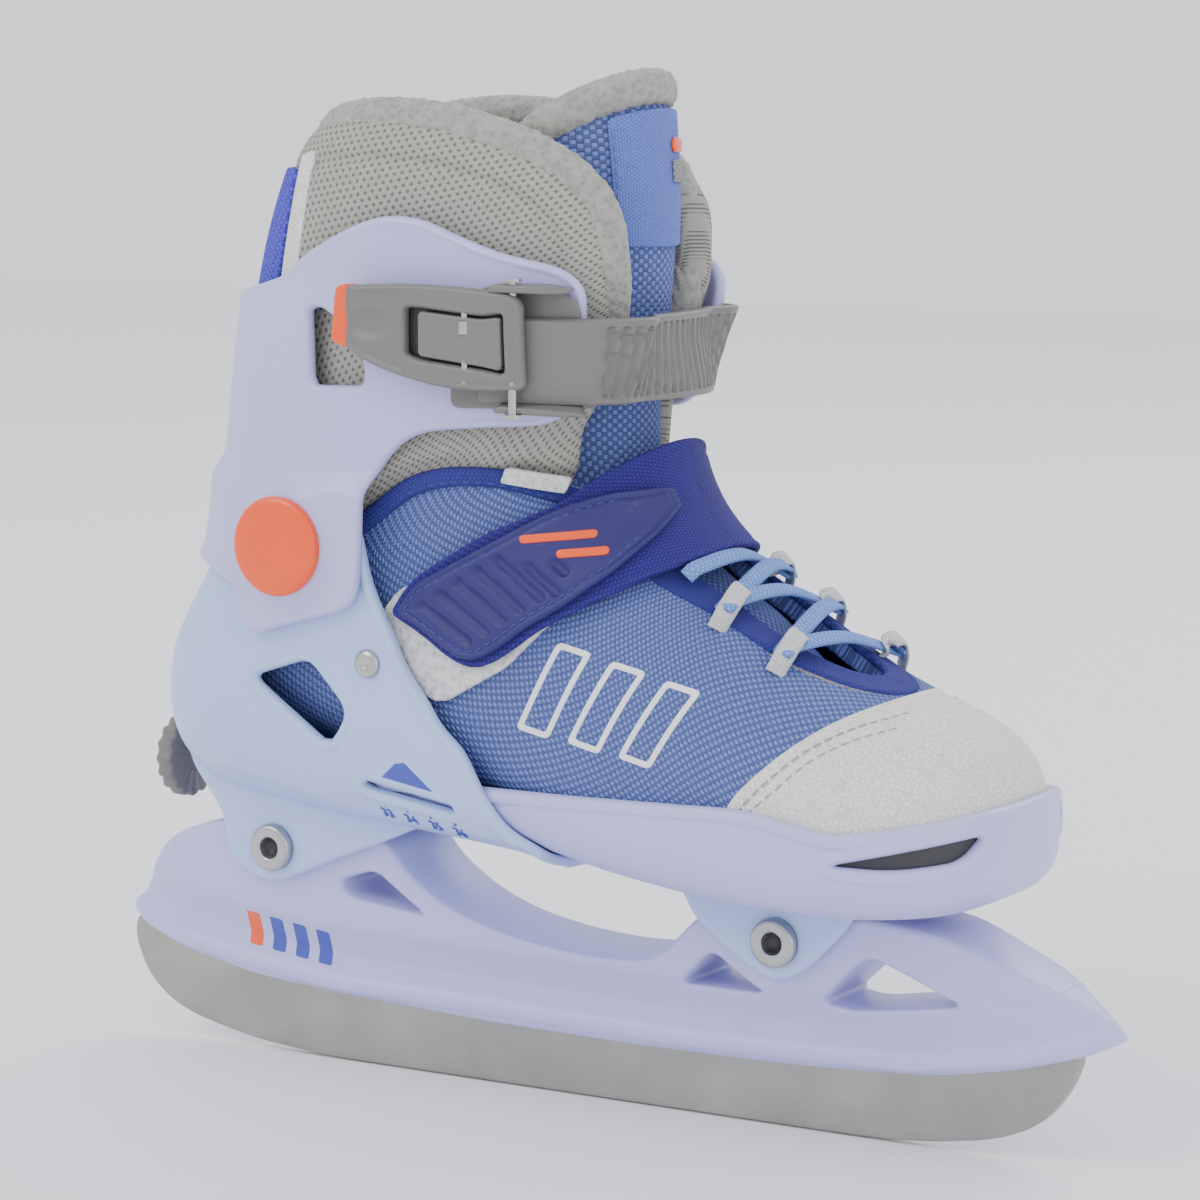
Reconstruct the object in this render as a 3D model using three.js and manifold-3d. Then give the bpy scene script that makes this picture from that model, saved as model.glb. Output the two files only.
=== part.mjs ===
// Child's size-adjustable ice skate: moulded blade holder, shell in two sliding halves, hinged cuff,
// soft padded boot, ratchet buckle and instep strap. Millimetres; +X to the toe, +Z up, -Y is the outer
// side that carries the buckle; the running edge of the blade lies on z = 0.
import * as THREE from "three";
import { ParametricGeometry } from "three/addons/geometries/ParametricGeometry.js";
import { mergeVertices } from "three/addons/utils/BufferGeometryUtils.js";
import Module from "manifold-3d";

const wasm = await Module();
wasm.setup();

// ---------------------------------------------------------------- driving dimensions
const SKATE_LENGTH = 284; // tail to nose of the blade holder
const DRAWN_LENGTH = 284; // length at which the outlines below are drawn
const BOOT_WIDTH = 82; // soft boot across the ball of the foot
const DRAWN_WIDTH = 82;
const GAP = 0.3; // clearance between pieces that touch
const RUN = 0.4; // clearance between nested shells that slide or turn
const BLADE_THICKNESS = 4;
const HOLDER_WIDTH = 28; // across the posts
const LIP_WIDTH = 15; // across the lip that grips the blade
const SHELL_WALL = 2.8;
const BOOT_WALL = 5.6;
const COLLAR_WALL = 9.5;
const FORK_WALL = 2.7; // each cheek of the forks that hold the holder's posts
const BOLT_DIAMETER = 6;
const BOLT_HEAD = { radius: 6, height: 2.6, socket: 2.3, floor: 0.8 };
const CAP = { radius: 12.2, height: 2.4, lift: 2.2 };
const PIVOT = { x: -64, z: 138, radius: 4, pad: 13.5, flange: 0.6 };
const KNOB = { x: -128.5, z: 75, radius: 10.7, thickness: 5, neck: 4, reach: 11 };
const SCREW_RADIUS = 2.2;
const SIZE_TRAVEL = 20; // how far the toe half slides out
const STRAP = { low: 175.4, high: 195.2, thickness: 2.2 };
const FRONT_SINK = { low: 3.7, more: 4.3 };
const BUCKLE_PIN = { x: 4, radius: 1.1 };
const PAWL_PIN = { x: -8, radius: 0.8 };
const ROLL_RADIUS = 4.4; // plush roll on the collar's rim
const TONGUE_THICKNESS = 6;
const PIN_CLEARANCE = 0.2; // round a pin in its bore
const FAR = 80; // beyond every surface, for cutting prisms

// Distance of each nested layer outside the soft boot's surface.
const TOE_IN = RUN;
const TOE_OUT = TOE_IN + SHELL_WALL;
const BASE_IN = TOE_OUT + RUN;
const BASE_OUT = BASE_IN + SHELL_WALL;
const CUFF_IN = BASE_OUT + 2 * RUN;
const CUFF_OUT = CUFF_IN + SHELL_WALL;
const CUFF_HUG = 3.4; // how much closer the cuff lies above the base wing
const HUG_FROM = 150;
const HUG_OVER = 8;
const FRAME_IN = CUFF_OUT - CUFF_HUG + 2 * GAP;
const FRAME_WALL = 1.4;
const STRAP_IN = FRAME_IN + FRAME_WALL + GAP;
const STRAP_OUT = STRAP_IN + STRAP.thickness;
const LEVER_IN = STRAP_OUT + 3 * RUN;
const LEVER_WALL = 3;
const LEVER_OUT = LEVER_IN + LEVER_WALL;
const PIN_OFFSET = LEVER_IN + 1.7;

// ---------------------------------------------------------------- the boot's form
// Sections fan from the toe round the ankle to the leg. Each joins a point on the front line to one on
// the back line; boot and shell differ under the foot, where the shell holds the size screw.
const FORM = [
  { front: [114.5, 80], sole: [114.5, 76], shell: [114.5, 75], half: 3, split: 0.55, round: [2, 2] },
  { front: [113.5, 90], sole: [113.5, 69], shell: [113.5, 68], half: 14, split: 0.58, round: [2, 3] },
  { front: [109, 97], sole: [109, 64.8], shell: [109, 64.5], half: 23.5, split: 0.6, round: [2.1, 3.6] },
  { front: [100, 102.5], sole: [100, 62], shell: [100, 61.8], half: 31, split: 0.62, round: [2.2, 4] },
  { front: [85, 107.5], sole: [85, 61], shell: [85, 60.8], half: 37.5, split: 0.64, round: [2.3, 4.5] },
  { front: [66, 116], sole: [66, 61.4], shell: [66, 61.2], half: 41, split: 0.66, round: [2.3, 4.5] },
  { front: [48, 127.5], sole: [45, 62.8], shell: [45, 62.2], half: 40.5, split: 0.66, round: [2.2, 4.5] },
  { front: [36, 136], sole: [20, 66], shell: [20, 64.7], half: 38, split: 0.62, round: [2.1, 4.5] },
  { front: [28, 144], sole: [-8, 74.5], shell: [-8, 69], half: 35.5, split: 0.58, round: [2.1, 4.2] },
  { front: [23, 153], sole: [-40, 80.5], shell: [-40, 71.4], half: 34, split: 0.55, round: [2.1, 3.8] },
  { front: [20.5, 164], sole: [-75, 86], shell: [-78, 73.8], half: 33, split: 0.52, round: [2.1, 3.2] },
  { front: [20.5, 175], sole: [-103, 93], shell: [-109, 80], half: 33, split: 0.5, round: [2.4, 2.8] },
  { front: [23, 186], sole: [-110, 108], shell: [-115.5, 100], half: 33.5, split: 0.5, round: [2.6, 2.4] },
  { front: [27, 196], sole: [-101, 131], shell: [-101, 129], half: 34, split: 0.5, round: [3, 2.3] },
  { front: [31, 206], sole: [-97.5, 157], shell: [-97.5, 157], half: 34.5, split: 0.5, round: [3.2, 2.3] },
  { front: [32, 217], sole: [-95.5, 184], shell: [-95.5, 184], half: 34.5, split: 0.5, round: [3.2, 2.3] },
  { front: [31, 229], sole: [-93, 205], shell: [-93, 205], half: 35, split: 0.5, round: [3.2, 2.3] },
  { front: [29, 241], sole: [-89.5, 224], shell: [-89.5, 224], half: 35, split: 0.5, round: [3.2, 2.3] },
  { front: [25, 252], sole: [-82, 240], shell: [-82, 240], half: 34.5, split: 0.5, round: [3.2, 2.3] },
  { front: [21, 263], sole: [-75, 254], shell: [-75, 254], half: 34, split: 0.5, round: [3, 2.3] },
];
const SIDES = 18;
const stretchX = (x) => (x * SKATE_LENGTH) / DRAWN_LENGTH;
const stretchY = (y) => (y * BOOT_WIDTH) / DRAWN_WIDTH;

/** One station's numbers as a flat list, ready to be blended. */
function stationValues(station, kind) {
  const [frontX, frontZ] = station.front;
  const [backX, backZ] = station[kind];
  const half = stretchY(station.half);
  return [stretchX(frontX), frontZ, stretchX(backX), backZ, half, station.split, ...station.round];
}

/** Catmull-Rom blend of the stations at place s, from 0 at the toe. */
function formValues(s, kind) {
  const last = FORM.length - 1;
  const i = Math.min(Math.floor(s), last - 1);
  const f = s - i;
  const at = (k) => stationValues(FORM[THREE.MathUtils.clamp(k, 0, last)], kind);
  const [a, b, c, d] = [at(i - 1), at(i), at(i + 1), at(i + 2)];
  return b.map((value, k) => {
    const curve = 2 * a[k] - 5 * value + 4 * c[k] - d[k];
    const twist = 3 * value - a[k] - 3 * c[k] + d[k];
    return 0.5 * (2 * value + (c[k] - a[k]) * f + curve * f * f + twist * f * f * f);
  });
}

/** Point of the boot's surface: s along the foot, angle 0 at the front line, pi at the back line. */
function onBoot(s, angle, kind) {
  const [frontX, frontZ, backX, backZ, half, split, roundFront, roundBack] = formValues(s, kind);
  const along = Math.cos(angle);
  const across = Math.sin(angle);
  const power = along > 0 ? roundFront : roundBack;
  const reach = (Math.abs(along) ** power + Math.abs(across) ** power) ** (-1 / power);
  const share = along > 0 ? split * (1 - along * reach) : split - along * reach * (1 - split);
  return new THREE.Vector3(
    frontX + (backX - frontX) * share,
    -half * across * reach,
    frontZ + (backZ - frontZ) * share,
  );
}

/** Outward normal of the boot's surface, from two small steps along it. */
function bootNormal(s, angle, kind) {
  const step = 0.02;
  const low = Math.max(s - step, 0);
  const high = Math.min(s + step, FORM.length - 1);
  const along = onBoot(high, angle, kind).sub(onBoot(low, angle, kind));
  const around = onBoot(s, angle + step, kind).sub(onBoot(s, angle - step, kind));
  return along.cross(around).normalize();
}

/** Point at a distance outside the boot's surface; the distance may be a function of the point. */
function offBoot(s, angle, distance, kind = "shell") {
  const point = onBoot(s, angle, kind);
  const reach = typeof distance === "function" ? distance(point) : distance;
  return point.addScaledVector(bootNormal(s, angle, kind), reach);
}

/** Place (s, angle) whose point at the given distance has the wanted x and z, on side -1 or +1. */
function placeAt(x, z, distance, side = -1) {
  const miss = (s, angle) => {
    const p = offBoot(s, angle, distance);
    return Math.hypot(p.x - stretchX(x), p.z - z);
  };
  let best = { s: 1, angle: 1, error: Infinity };
  const consider = (s, angle) => {
    const error = miss(s, angle);
    if (error < best.error) best = { s, angle, error };
  };
  for (let s = 0.5; s < FORM.length - 1; s += 0.5) {
    for (let angle = 0.1; angle < Math.PI; angle += 0.15) consider(s, angle);
  }
  for (let step = 0.25; step > 0.001; step /= 2) {
    for (let turn = 0; turn < 4; turn++) {
      const { s, angle } = best;
      consider(Math.min(s + step, FORM.length - 1.1), angle);
      consider(Math.max(s - step, 0.1), angle);
      consider(s, angle + step / 3);
      consider(s, angle - step / 3);
    }
  }
  return { s: best.s, angle: side < 0 ? best.angle : -best.angle };
}

// ---------------------------------------------------------------- solids
/** A closed geometry as a manifold solid, with its faces pointing out. */
function solid(geometry) {
  const bare = geometry.clone();
  bare.deleteAttribute("normal");
  bare.deleteAttribute("uv");
  const merged = mergeVertices(bare, 1e-4);
  const all = merged.index.array;
  const faces = [];
  for (let i = 0; i < all.length; i += 3) {
    const [a, b, c] = [all[i], all[i + 1], all[i + 2]];
    if (a !== b && b !== c && c !== a) faces.push(a, b, c);
  }
  const vertProperties = merged.attributes.position.array;
  const build = (triVerts) => new wasm.Manifold(new wasm.Mesh({ numProp: 3, vertProperties, triVerts }));
  const made = build(new Uint32Array(faces));
  return made.volume() > 0 ? made : build(new Uint32Array(faces.reverse()));
}

function geometryOf(body) {
  const mesh = body.getMesh();
  const geometry = new THREE.BufferGeometry();
  geometry.setAttribute("position", new THREE.BufferAttribute(mesh.vertProperties, mesh.numProp));
  geometry.setIndex(new THREE.BufferAttribute(mesh.triVerts, 1));
  geometry.computeVertexNormals();
  return geometry;
}

const join = (...bodies) => bodies.reduce((sum, body) => sum.add(body));
const moved = (body, x, y, z) => solid(geometryOf(body).translate(x, y, z));

/** The whole boot form grown by a distance, closed at toe and top. */
function bootSolid(distance, kind = "shell") {
  const rows = FORM.length + 1;
  const top = FORM.length - 1;
  const surface = (u, v, target) => {
    const row = Math.round(v * rows);
    const angle = u * 2 * Math.PI;
    if (row === 0 || row === rows) {
      const s = row === 0 ? 0 : top;
      target.copy(offBoot(s, 0, distance, kind)).add(offBoot(s, Math.PI, distance, kind)).multiplyScalar(0.5);
      return;
    }
    target.copy(offBoot(row - 1, angle, distance, kind));
  };
  return solid(new ParametricGeometry(surface, SIDES, rows));
}

const layers = new Map();
/** Shell between two distances outside the boot. */
function layer(inner, outer, kind = "shell") {
  const key = `${inner} ${outer} ${kind}`;
  if (!layers.has(key)) layers.set(key, bootSolid(outer, kind).subtract(bootSolid(inner, kind)));
  return layers.get(key);
}

/** Closed outline whose corners are eased; a point may carry its own easing as a third number. */
function outline(points, ease = 0) {
  const shape = new THREE.Shape();
  const corners = points.map(([x, y]) => new THREE.Vector2(x, y));
  corners.forEach((here, i) => {
    const before = corners.at(i - 1);
    const after = corners[(i + 1) % corners.length];
    const reach = points[i][2] ?? ease;
    const into = here.clone().lerp(before, Math.min(0.45, reach / here.distanceTo(before)));
    const out = here.clone().lerp(after, Math.min(0.45, reach / here.distanceTo(after)));
    if (i === 0) shape.moveTo(into.x, into.y);
    else shape.lineTo(into.x, into.y);
    if (reach > 0) shape.quadraticCurveTo(here.x, here.y, out.x, out.y);
  });
  shape.closePath();
  return shape;
}

const extrusion = (shape, depth) =>
  new THREE.ExtrudeGeometry(shape, { depth, bevelEnabled: false, curveSegments: 3 });
const stretched = (points) => points.map(([x, z, ...rest]) => [stretchX(x), z, ...rest]);

/** Side-view outline (x, z) run from y = low to y = high. */
function sidePrism(points, low = -FAR, high = FAR, ease = 0) {
  const shape = outline(stretched(points), ease);
  const geometry = extrusion(shape, high - low);
  return solid(geometry.rotateX(Math.PI / 2).translate(0, high, 0));
}

/** Plan outline (x, y) run from z = low to z = high. */
function planPrism(points, low, high, ease = 0) {
  const shape = outline(stretched(points), ease);
  const geometry = extrusion(shape, high - low);
  return solid(geometry.translate(0, 0, low));
}

/** Cross-section outline (y, z) run along the whole length. */
function sectionPrism(points) {
  const length = SKATE_LENGTH + 40;
  const geometry = new THREE.ExtrudeGeometry(outline(points), { depth: length, bevelEnabled: false });
  const turn = new THREE.Matrix4().makeBasis(
    new THREE.Vector3(0, 1, 0),
    new THREE.Vector3(0, 0, 1),
    new THREE.Vector3(1, 0, 0),
  );
  return solid(geometry.applyMatrix4(turn).translate(-length / 2, 0, 0));
}

function box(x0, x1, y0, y1, z0, z1) {
  const geometry = new THREE.BoxGeometry(x1 - x0, y1 - y0, z1 - z0);
  return solid(geometry.translate((x0 + x1) / 2, (y0 + y1) / 2, (z0 + z1) / 2));
}

/** Round bar between two points. */
function bar(from, to, radius, sides = 14) {
  const start = new THREE.Vector3(...from);
  const reach = new THREE.Vector3(...to).sub(start);
  const geometry = new THREE.CylinderGeometry(radius, radius, reach.length(), sides);
  const turn = new THREE.Quaternion().setFromUnitVectors(
    new THREE.Vector3(0, 1, 0),
    reach.clone().normalize(),
  );
  return solid(geometry.applyQuaternion(turn).translate(...start.addScaledVector(reach, 0.5)));
}

/** Round bar square to the boot's surface between two distances from it. */
function studAt(place, radius, from, to, sides = 12) {
  const a = offBoot(place.s, place.angle, from);
  const b = offBoot(place.s, place.angle, to);
  return bar(a.toArray(), b.toArray(), radius, sides);
}

/** Round cord along a smooth path. */
function cord(points, radius, sides, steps) {
  const path = new THREE.CatmullRomCurve3(points);
  const section = new THREE.Shape().absarc(0, 0, radius, 0, 2 * Math.PI);
  section.autoClose = true;
  const round = new THREE.Shape(section.getPoints(sides / 2).slice(0, -1));
  return solid(new THREE.ExtrudeGeometry(round, { steps, bevelEnabled: false, extrudePath: path }));
}

/** Curved plate: surface(v, w, lift) for v along it and w from -1 to 1 across it. */
function plate(surface, inner, outer, alongCount, acrossCount) {
  const ring = 2 * acrossCount + 2;
  const rows = alongCount + 2;
  const shape = (u, v, target) => {
    const k = Math.round(u * ring) % ring;
    const row = Math.round(v * rows);
    const outside = k <= acrossCount;
    const w = outside ? -1 + (2 * k) / acrossCount : 1 - (2 * (k - acrossCount - 1)) / acrossCount;
    const along = THREE.MathUtils.clamp((row - 1) / alongCount, 0, 1);
    const middle = (inner + outer) / 2;
    const closed = row === 0 || row === rows;
    const lift = closed ? middle : outside ? outer : inner;
    target.copy(surface(along, w, lift));
  };
  return solid(new ParametricGeometry(shape, ring, rows));
}

// ---------------------------------------------------------------- scene
const FINISH = {
  lavender: { color: 0xc3c3e6, roughness: 0.38, metalness: 0 },
  ice: { color: 0xbecce8, roughness: 0.38, metalness: 0 },
  grey: { color: 0x7d7a76, roughness: 0.5, metalness: 0 },
  orange: { color: 0xff6919, roughness: 0.35, metalness: 0 },
  steel: { color: 0x96948f, roughness: 0.35, metalness: 1 },
  brass: { color: 0xb89650, roughness: 0.4, metalness: 1 },
  mesh: { color: 0x5f73aa, roughness: 0.9, metalness: 0 },
  padding: { color: 0xb4b4ae, roughness: 0.95, metalness: 0 },
  indigo: { color: 0x32288c, roughness: 0.7, metalness: 0 },
  piping: { color: 0x464baa, roughness: 0.8, metalness: 0 },
  leather: { color: 0xebe9e1, roughness: 0.6, metalness: 0 },
  label: { color: 0x7891d2, roughness: 0.8, metalness: 0 },
  lace: { color: 0x6e96dc, roughness: 0.9, metalness: 0 },
};
const skate = new THREE.Group();

function piece(name, body, finish) {
  const mesh = new THREE.Mesh(geometryOf(body), new THREE.MeshStandardMaterial(FINISH[finish]));
  mesh.name = name;
  skate.add(mesh);
}

const SIDE_NAMES = [["outer", -1], ["inner", 1]];

// ---------------------------------------------------------------- blade and holder
const BLADE_EDGE = [
  [-142, 30], [-142, 25], [-138, 16], [-131, 9.5], [-124, 6], [-106, 2], [-82, 0], [77, 0], [92, 1],
  [110, 4], [121, 9], [128, 18], [131, 25],
];
const BLADE_TOP = [
  [126, 29], [96, 25], [60, 23], [-52, 24], [-101, 27], [-125, 31], [-136, 33],
];
const HOLDER_LINE = [
  [-142.5, 34], [-137, 28.5], [-125, 24.5], [-101, 20.5], [-76, 18.5], [-52, 17.5], [-30, 16.5],
  [15, 16], [60, 16.5], [96, 18.5], [117, 22.5], [133, 27], [141.5, 31], [137, 36], [128, 42],
  [121, 45], [106, 51], [99, 53], [80, 54.5], [45, 54.5], [36, 52], [30, 46], [26, 41.5],
  [21, 39.3], [8, 38.3], [-9, 39.3], [-25, 42], [-37, 46.3], [-46, 52], [-50, 55.5], [-53, 60],
  [-60, 62], [-107, 60.5], [-120, 57], [-127, 53], [-133, 45], [-137, 38.5],
];
const HOLDER_TOP = 62;
const FRONT_TOP = 54.5;
const HOLDER_WINDOWS = [
  [[-68, 49], [-58, 52], [-44, 43], [-65, 46]],
  [[30.5, 34], [39, 43], [52, 34.5]],
  [[69, 34], [81, 46.5], [104, 37], [75, 33.5]],
];
const BOLTS = [
  { name: "rear_bolt", x: -86, z: 57 },
  { name: "front_bolt", x: 59, z: 48.5 },
];
const REAR_FORK = [
  [-112, 78], [-108, 71], [-104, 67], [-102, 63], [-101, 55], [-97, 51], [-90, 48], [-83, 49],
  [-71, 54], [-52, 61], [-40, 66], [-40, 71], [-60, 72], [-78, 74],
];
const FRONT_FORK = [
  [33, 60.5], [36, 52], [51, 42], [59, 39], [65, 42], [78, 54], [79, 59.5], [60, 59.8],
];
const holderHalf = HOLDER_WIDTH / 2;
const forkHalf = holderHalf + GAP + FORK_WALL;

function bladeHolder() {
  const lip = LIP_WIDTH / 2;
  const section = sectionPrism([
    [-lip + 1, 10], [lip - 1, 10], [lip, 21], [lip + 0.5, 26], [holderHalf, 38], [holderHalf, 90],
    [-holderHalf, 90], [-holderHalf, 38], [-lip - 0.5, 26], [-lip, 21],
  ]);
  const plan = planPrism([
    [-150, -2], [-140, -7], [-124, -11], [-100, -holderHalf - 1], [96, -holderHalf - 1], [122, -10],
    [138, -5], [143, -1.5], [143, 1.5], [138, 5], [122, 10], [96, holderHalf + 1],
    [-100, holderHalf + 1], [-124, 11], [-140, 7], [-150, 2],
  ], 0, 90);
  const slotHalf = BLADE_THICKNESS / 2 + GAP;
  const slotTop = BLADE_TOP.map(([x, z]) => [x, z + GAP]);
  const slotEnds = [
    [131 + GAP, 25 + GAP], [160, 20], [160, -5], [-160, -5], [-160, 30 + GAP], [-142, 33 + GAP],
  ];
  const slot = sidePrism([...slotTop.reverse(), ...slotEnds].reverse(), -slotHalf, slotHalf);
  let holder = sidePrism(HOLDER_LINE).intersect(section).intersect(plan).subtract(slot);
  for (const window of HOLDER_WINDOWS) holder = holder.subtract(sidePrism(window, -FAR, FAR, 2.5));
  for (const { x, z } of BOLTS) {
    const at = stretchX(x);
    holder = holder.subtract(bar([at, -FAR, z], [at, FAR, z], BOLT_DIAMETER / 2 + GAP));
  }
  return holder;
}

const bladeHalf = BLADE_THICKNESS / 2;
piece("blade", sidePrism([...BLADE_EDGE, ...BLADE_TOP], -bladeHalf, bladeHalf), "steel");
piece("blade_holder", bladeHolder(), "lavender");

for (const { name, x, z } of BOLTS) {
  const at = stretchX(x);
  const face = forkHalf + GAP;
  const shank = bar([at, -face, z], [at, holderHalf, z], BOLT_DIAMETER / 2);
  const head = bar([at, -face - BOLT_HEAD.height, z], [at, -face, z], BOLT_HEAD.radius, 20);
  const socket = bar([at, -face - BOLT_HEAD.height - 1, z], [at, -face - BOLT_HEAD.floor, z], BOLT_HEAD.socket, 6);
  piece(name, join(shank, head).subtract(socket), "steel");
  const barrel = bar([at, holderHalf + GAP, z], [at, face, z], BOLT_DIAMETER / 2);
  const flange = bar([at, face, z], [at, face + BOLT_HEAD.height, z], BOLT_HEAD.radius, 20);
  piece(name.replace("bolt", "nut"), join(barrel, flange), "steel");
}

// ---------------------------------------------------------------- shell halves
/** Above the base wing the cuff comes closer to the boot. */
const hug = (point) => CUFF_HUG * THREE.MathUtils.smoothstep(point.z, HUG_FROM, HUG_FROM + HUG_OVER);
const hugging = (distance) => (point) => distance - hug(point);

const BASE_LINE = [
  [6, 40], [4, 62], [3, 66], [-4, 71], [-9, 80], [-14, 91], [-21, 96], [-25, 102], [-32, 110],
  [-36, 119], [-39, 124], [-42, 131], [-43, 135], [-45, 145], [-52, 148.5], [-66, 149.5], [-78, 146],
  [-88, 138], [-97, 135], [-150, 135], [-150, 40],
];
const BASE_WINDOW = [[-77, 104], [-60, 109.5], [-49, 97], [-56, 88.5]];
const SIZE_SLOT = [[-46.5, 79], [-46, 81], [-19, 77], [-19.5, 75]];
const TOE_LINE = [
  [-46, 40], [-46, 81], [-5, 82], [21, 83], [41, 84], [64, 85], [77, 82], [85, 80], [91, 81],
  [105, 83], [118, 86], [150, 88], [150, 40],
];
const TOE_VENT = [[85, 73.5], [98, 76], [113, 79.5], [110, 74], [98, 72.5]];
const RAIL_HALF = forkHalf + 2; // sole rail of the base that runs in the toe half's floor
const RAIL_END = 82;
const BRIDGE = { from: -46, to: -36, low: 75, high: 77.8, nut: 5.4 };
const BUCKLE_RIVET = { shank: 2, head: 3, tail: 3.4 }; // the far side's head is the larger
const RIVET = { x: -42, z: 110, head: 3.5, shank: 1.8 };
const SHANK_INTO_HEAD = 0.6; // a rivet's shank runs on into its head

const pivotY = (side, distance) => {
  const place = placeAt(PIVOT.x, PIVOT.z, 0, side);
  return Math.abs(onBoot(place.s, place.angle, "shell").y) + distance;
};
const pivotX = stretchX(PIVOT.x);
const pivotPoint = (side, distance) => [pivotX, side * pivotY(side, distance), PIVOT.z];
const pivotBar = (side, from, to, radius, sides = 20) =>
  bar(pivotPoint(side, from), pivotPoint(side, to), radius, sides);

function baseShell() {
  const inCuff = bootSolid(hugging(BASE_OUT));
  const around = layer(BASE_IN, BASE_OUT).intersect(sidePrism(BASE_LINE)).intersect(inCuff);
  const railTop = layer(TOE_IN, TOE_OUT - GAP);
  const fullDepth = bootSolid(BASE_OUT - GAP).subtract(bootSolid(TOE_IN));
  const foot = sidePrism([[-60, 40], [-60, 80], [0, 74], [0, 40]]);
  const forward = sidePrism([[-1, 40], [-1, 72], [RAIL_END, 70], [RAIL_END, 40]]);
  const strip = box(-SKATE_LENGTH, SKATE_LENGTH, -RAIL_HALF, RAIL_HALF, 40, 84);
  const rail = join(fullDepth.intersect(foot), railTop.intersect(forward)).intersect(strip);
  const inside = bootSolid(BASE_IN + 1);
  const forks = join(
    sidePrism(REAR_FORK, -forkHalf, forkHalf).subtract(inside),
    sidePrism(FRONT_FORK, -forkHalf, forkHalf).subtract(bootSolid(TOE_IN + 1)),
  );
  const post = holderHalf + GAP;
  const rearPost = box(stretchX(-130), stretchX(-20), -post, post, 30, HOLDER_TOP + GAP);
  const frontPost = box(stretchX(20), stretchX(100), -post, post, 30, FRONT_TOP + GAP);
  const bores = BOLTS.map(({ x, z }) => {
    const at = stretchX(x);
    return bar([at, -FAR, z], [at, FAR, z], BOLT_DIAMETER / 2 + GAP);
  });
  let shell = join(around, rail, forks).subtract(join(rearPost, frontPost, ...bores));
  shell = shell.subtract(sidePrism(BASE_WINDOW, -FAR, FAR, 2));
  shell = shell.subtract(sidePrism(SIZE_SLOT, -FAR, 0));
  const groove = layer(BASE_IN - 1, BASE_IN + 1.5);
  const grooveRun = sidePrism([[-48, 74], [-48, 82.5], [-18, 82.5], [-18, 74]], -FAR, 0);
  shell = shell.subtract(groove.intersect(grooveRun));
  shell = shell.subtract(bar([-SKATE_LENGTH, 0, KNOB.z], [stretchX(-106), 0, KNOB.z], KNOB.neck + RUN));
  shell = shell.subtract(bar([-SKATE_LENGTH, 0, KNOB.z], [0, 0, KNOB.z], SCREW_RADIUS + RUN, 16));
  for (const [, side] of SIDE_NAMES) {
    shell = shell.subtract(studAt(placeAt(RIVET.x, RIVET.z, BASE_OUT, side), RIVET.shank + GAP, -2, 12));
    shell = shell.add(pivotBar(side, BASE_IN + 0.8, BASE_OUT + 0.4, PIVOT.pad - 3));
    shell = shell.subtract(pivotBar(side, -4, 30, PIVOT.radius + GAP));
  }
  return shell;
}

function toeShell() {
  const around = layer(TOE_IN, TOE_OUT).intersect(sidePrism(TOE_LINE));
  const slot = RAIL_HALF + RUN;
  const floor = box(stretchX(-60), stretchX(RAIL_END + 2), -slot, slot, 40, BRIDGE.low + 1.5);
  const inside = bootSolid(TOE_IN + 1);
  const { from, to, low, high, nut } = BRIDGE;
  const bridge = box(stretchX(from), stretchX(to), -50, 50, low, high).intersect(inside);
  const nutRoom = box(stretchX(from) - 5, stretchX(to) + 5, -nut, nut, 40, 90);
  const shell = join(around.subtract(floor), bridge).subtract(nutRoom);
  return shell.subtract(sidePrism(TOE_VENT, -FAR, FAR, 1));
}

const toe = toeShell();
piece("base_shell", baseShell(), "ice");
piece("toe_shell", toe, "lavender");

for (const [sideName, side] of SIDE_NAMES) {
  const place = placeAt(RIVET.x, RIVET.z, BASE_OUT, side);
  const shank = studAt(place, RIVET.shank, BASE_IN, BASE_OUT + GAP + SHANK_INTO_HEAD);
  const head = studAt(place, RIVET.head, BASE_OUT + GAP, BASE_OUT + 1.5, 16);
  piece(`shell_rivet_${sideName}`, join(shank, head), "steel");
}

// ---------------------------------------------------------------- size screw
const knobFace = stretchX(KNOB.x);
const knobInner = knobFace + KNOB.thickness;
const screwEnd = stretchX(-32);
const capDepth = 1.2;
const knobCapRadius = KNOB.radius - 2.4;
const onAxis = (from, to, radius, sides = 24) => bar([from, 0, KNOB.z], [to, 0, KNOB.z], radius, sides);
const knobRim = join(
  onAxis(knobFace, knobInner, KNOB.radius),
  onAxis(knobInner, knobInner + KNOB.reach, KNOB.neck),
).subtract(join(
  onAxis(knobFace - 1, knobFace + capDepth + GAP, knobCapRadius + GAP),
  onAxis(knobFace, knobInner + 2 * KNOB.reach, SCREW_RADIUS + GAP),
));
piece("size_knob", knobRim, "grey");
piece("size_knob_cap", onAxis(knobFace, knobFace + capDepth, knobCapRadius), "grey");
piece("size_screw", onAxis(knobFace + capDepth + GAP, screwEnd, SCREW_RADIUS, 16), "steel");
const nutHalf = BRIDGE.nut - GAP;
const nutLow = KNOB.z - SCREW_RADIUS - 1;
const nutBlock = box(
  stretchX(BRIDGE.from), stretchX(BRIDGE.to), -nutHalf, nutHalf, nutLow, BRIDGE.high + 0.4,
);
piece("size_nut", nutBlock.subtract(onAxis(-SKATE_LENGTH, SKATE_LENGTH, SCREW_RADIUS + GAP, 16)), "brass");
const pointerRun = sidePrism([[-45.6, 75], [-45.6, 81.5], [-43, 81.5], [-43, 75]], -FAR, 0);
piece("size_pointer", layer(TOE_OUT + GAP, BASE_IN + 1.2).intersect(pointerRun), "piping");

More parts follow.
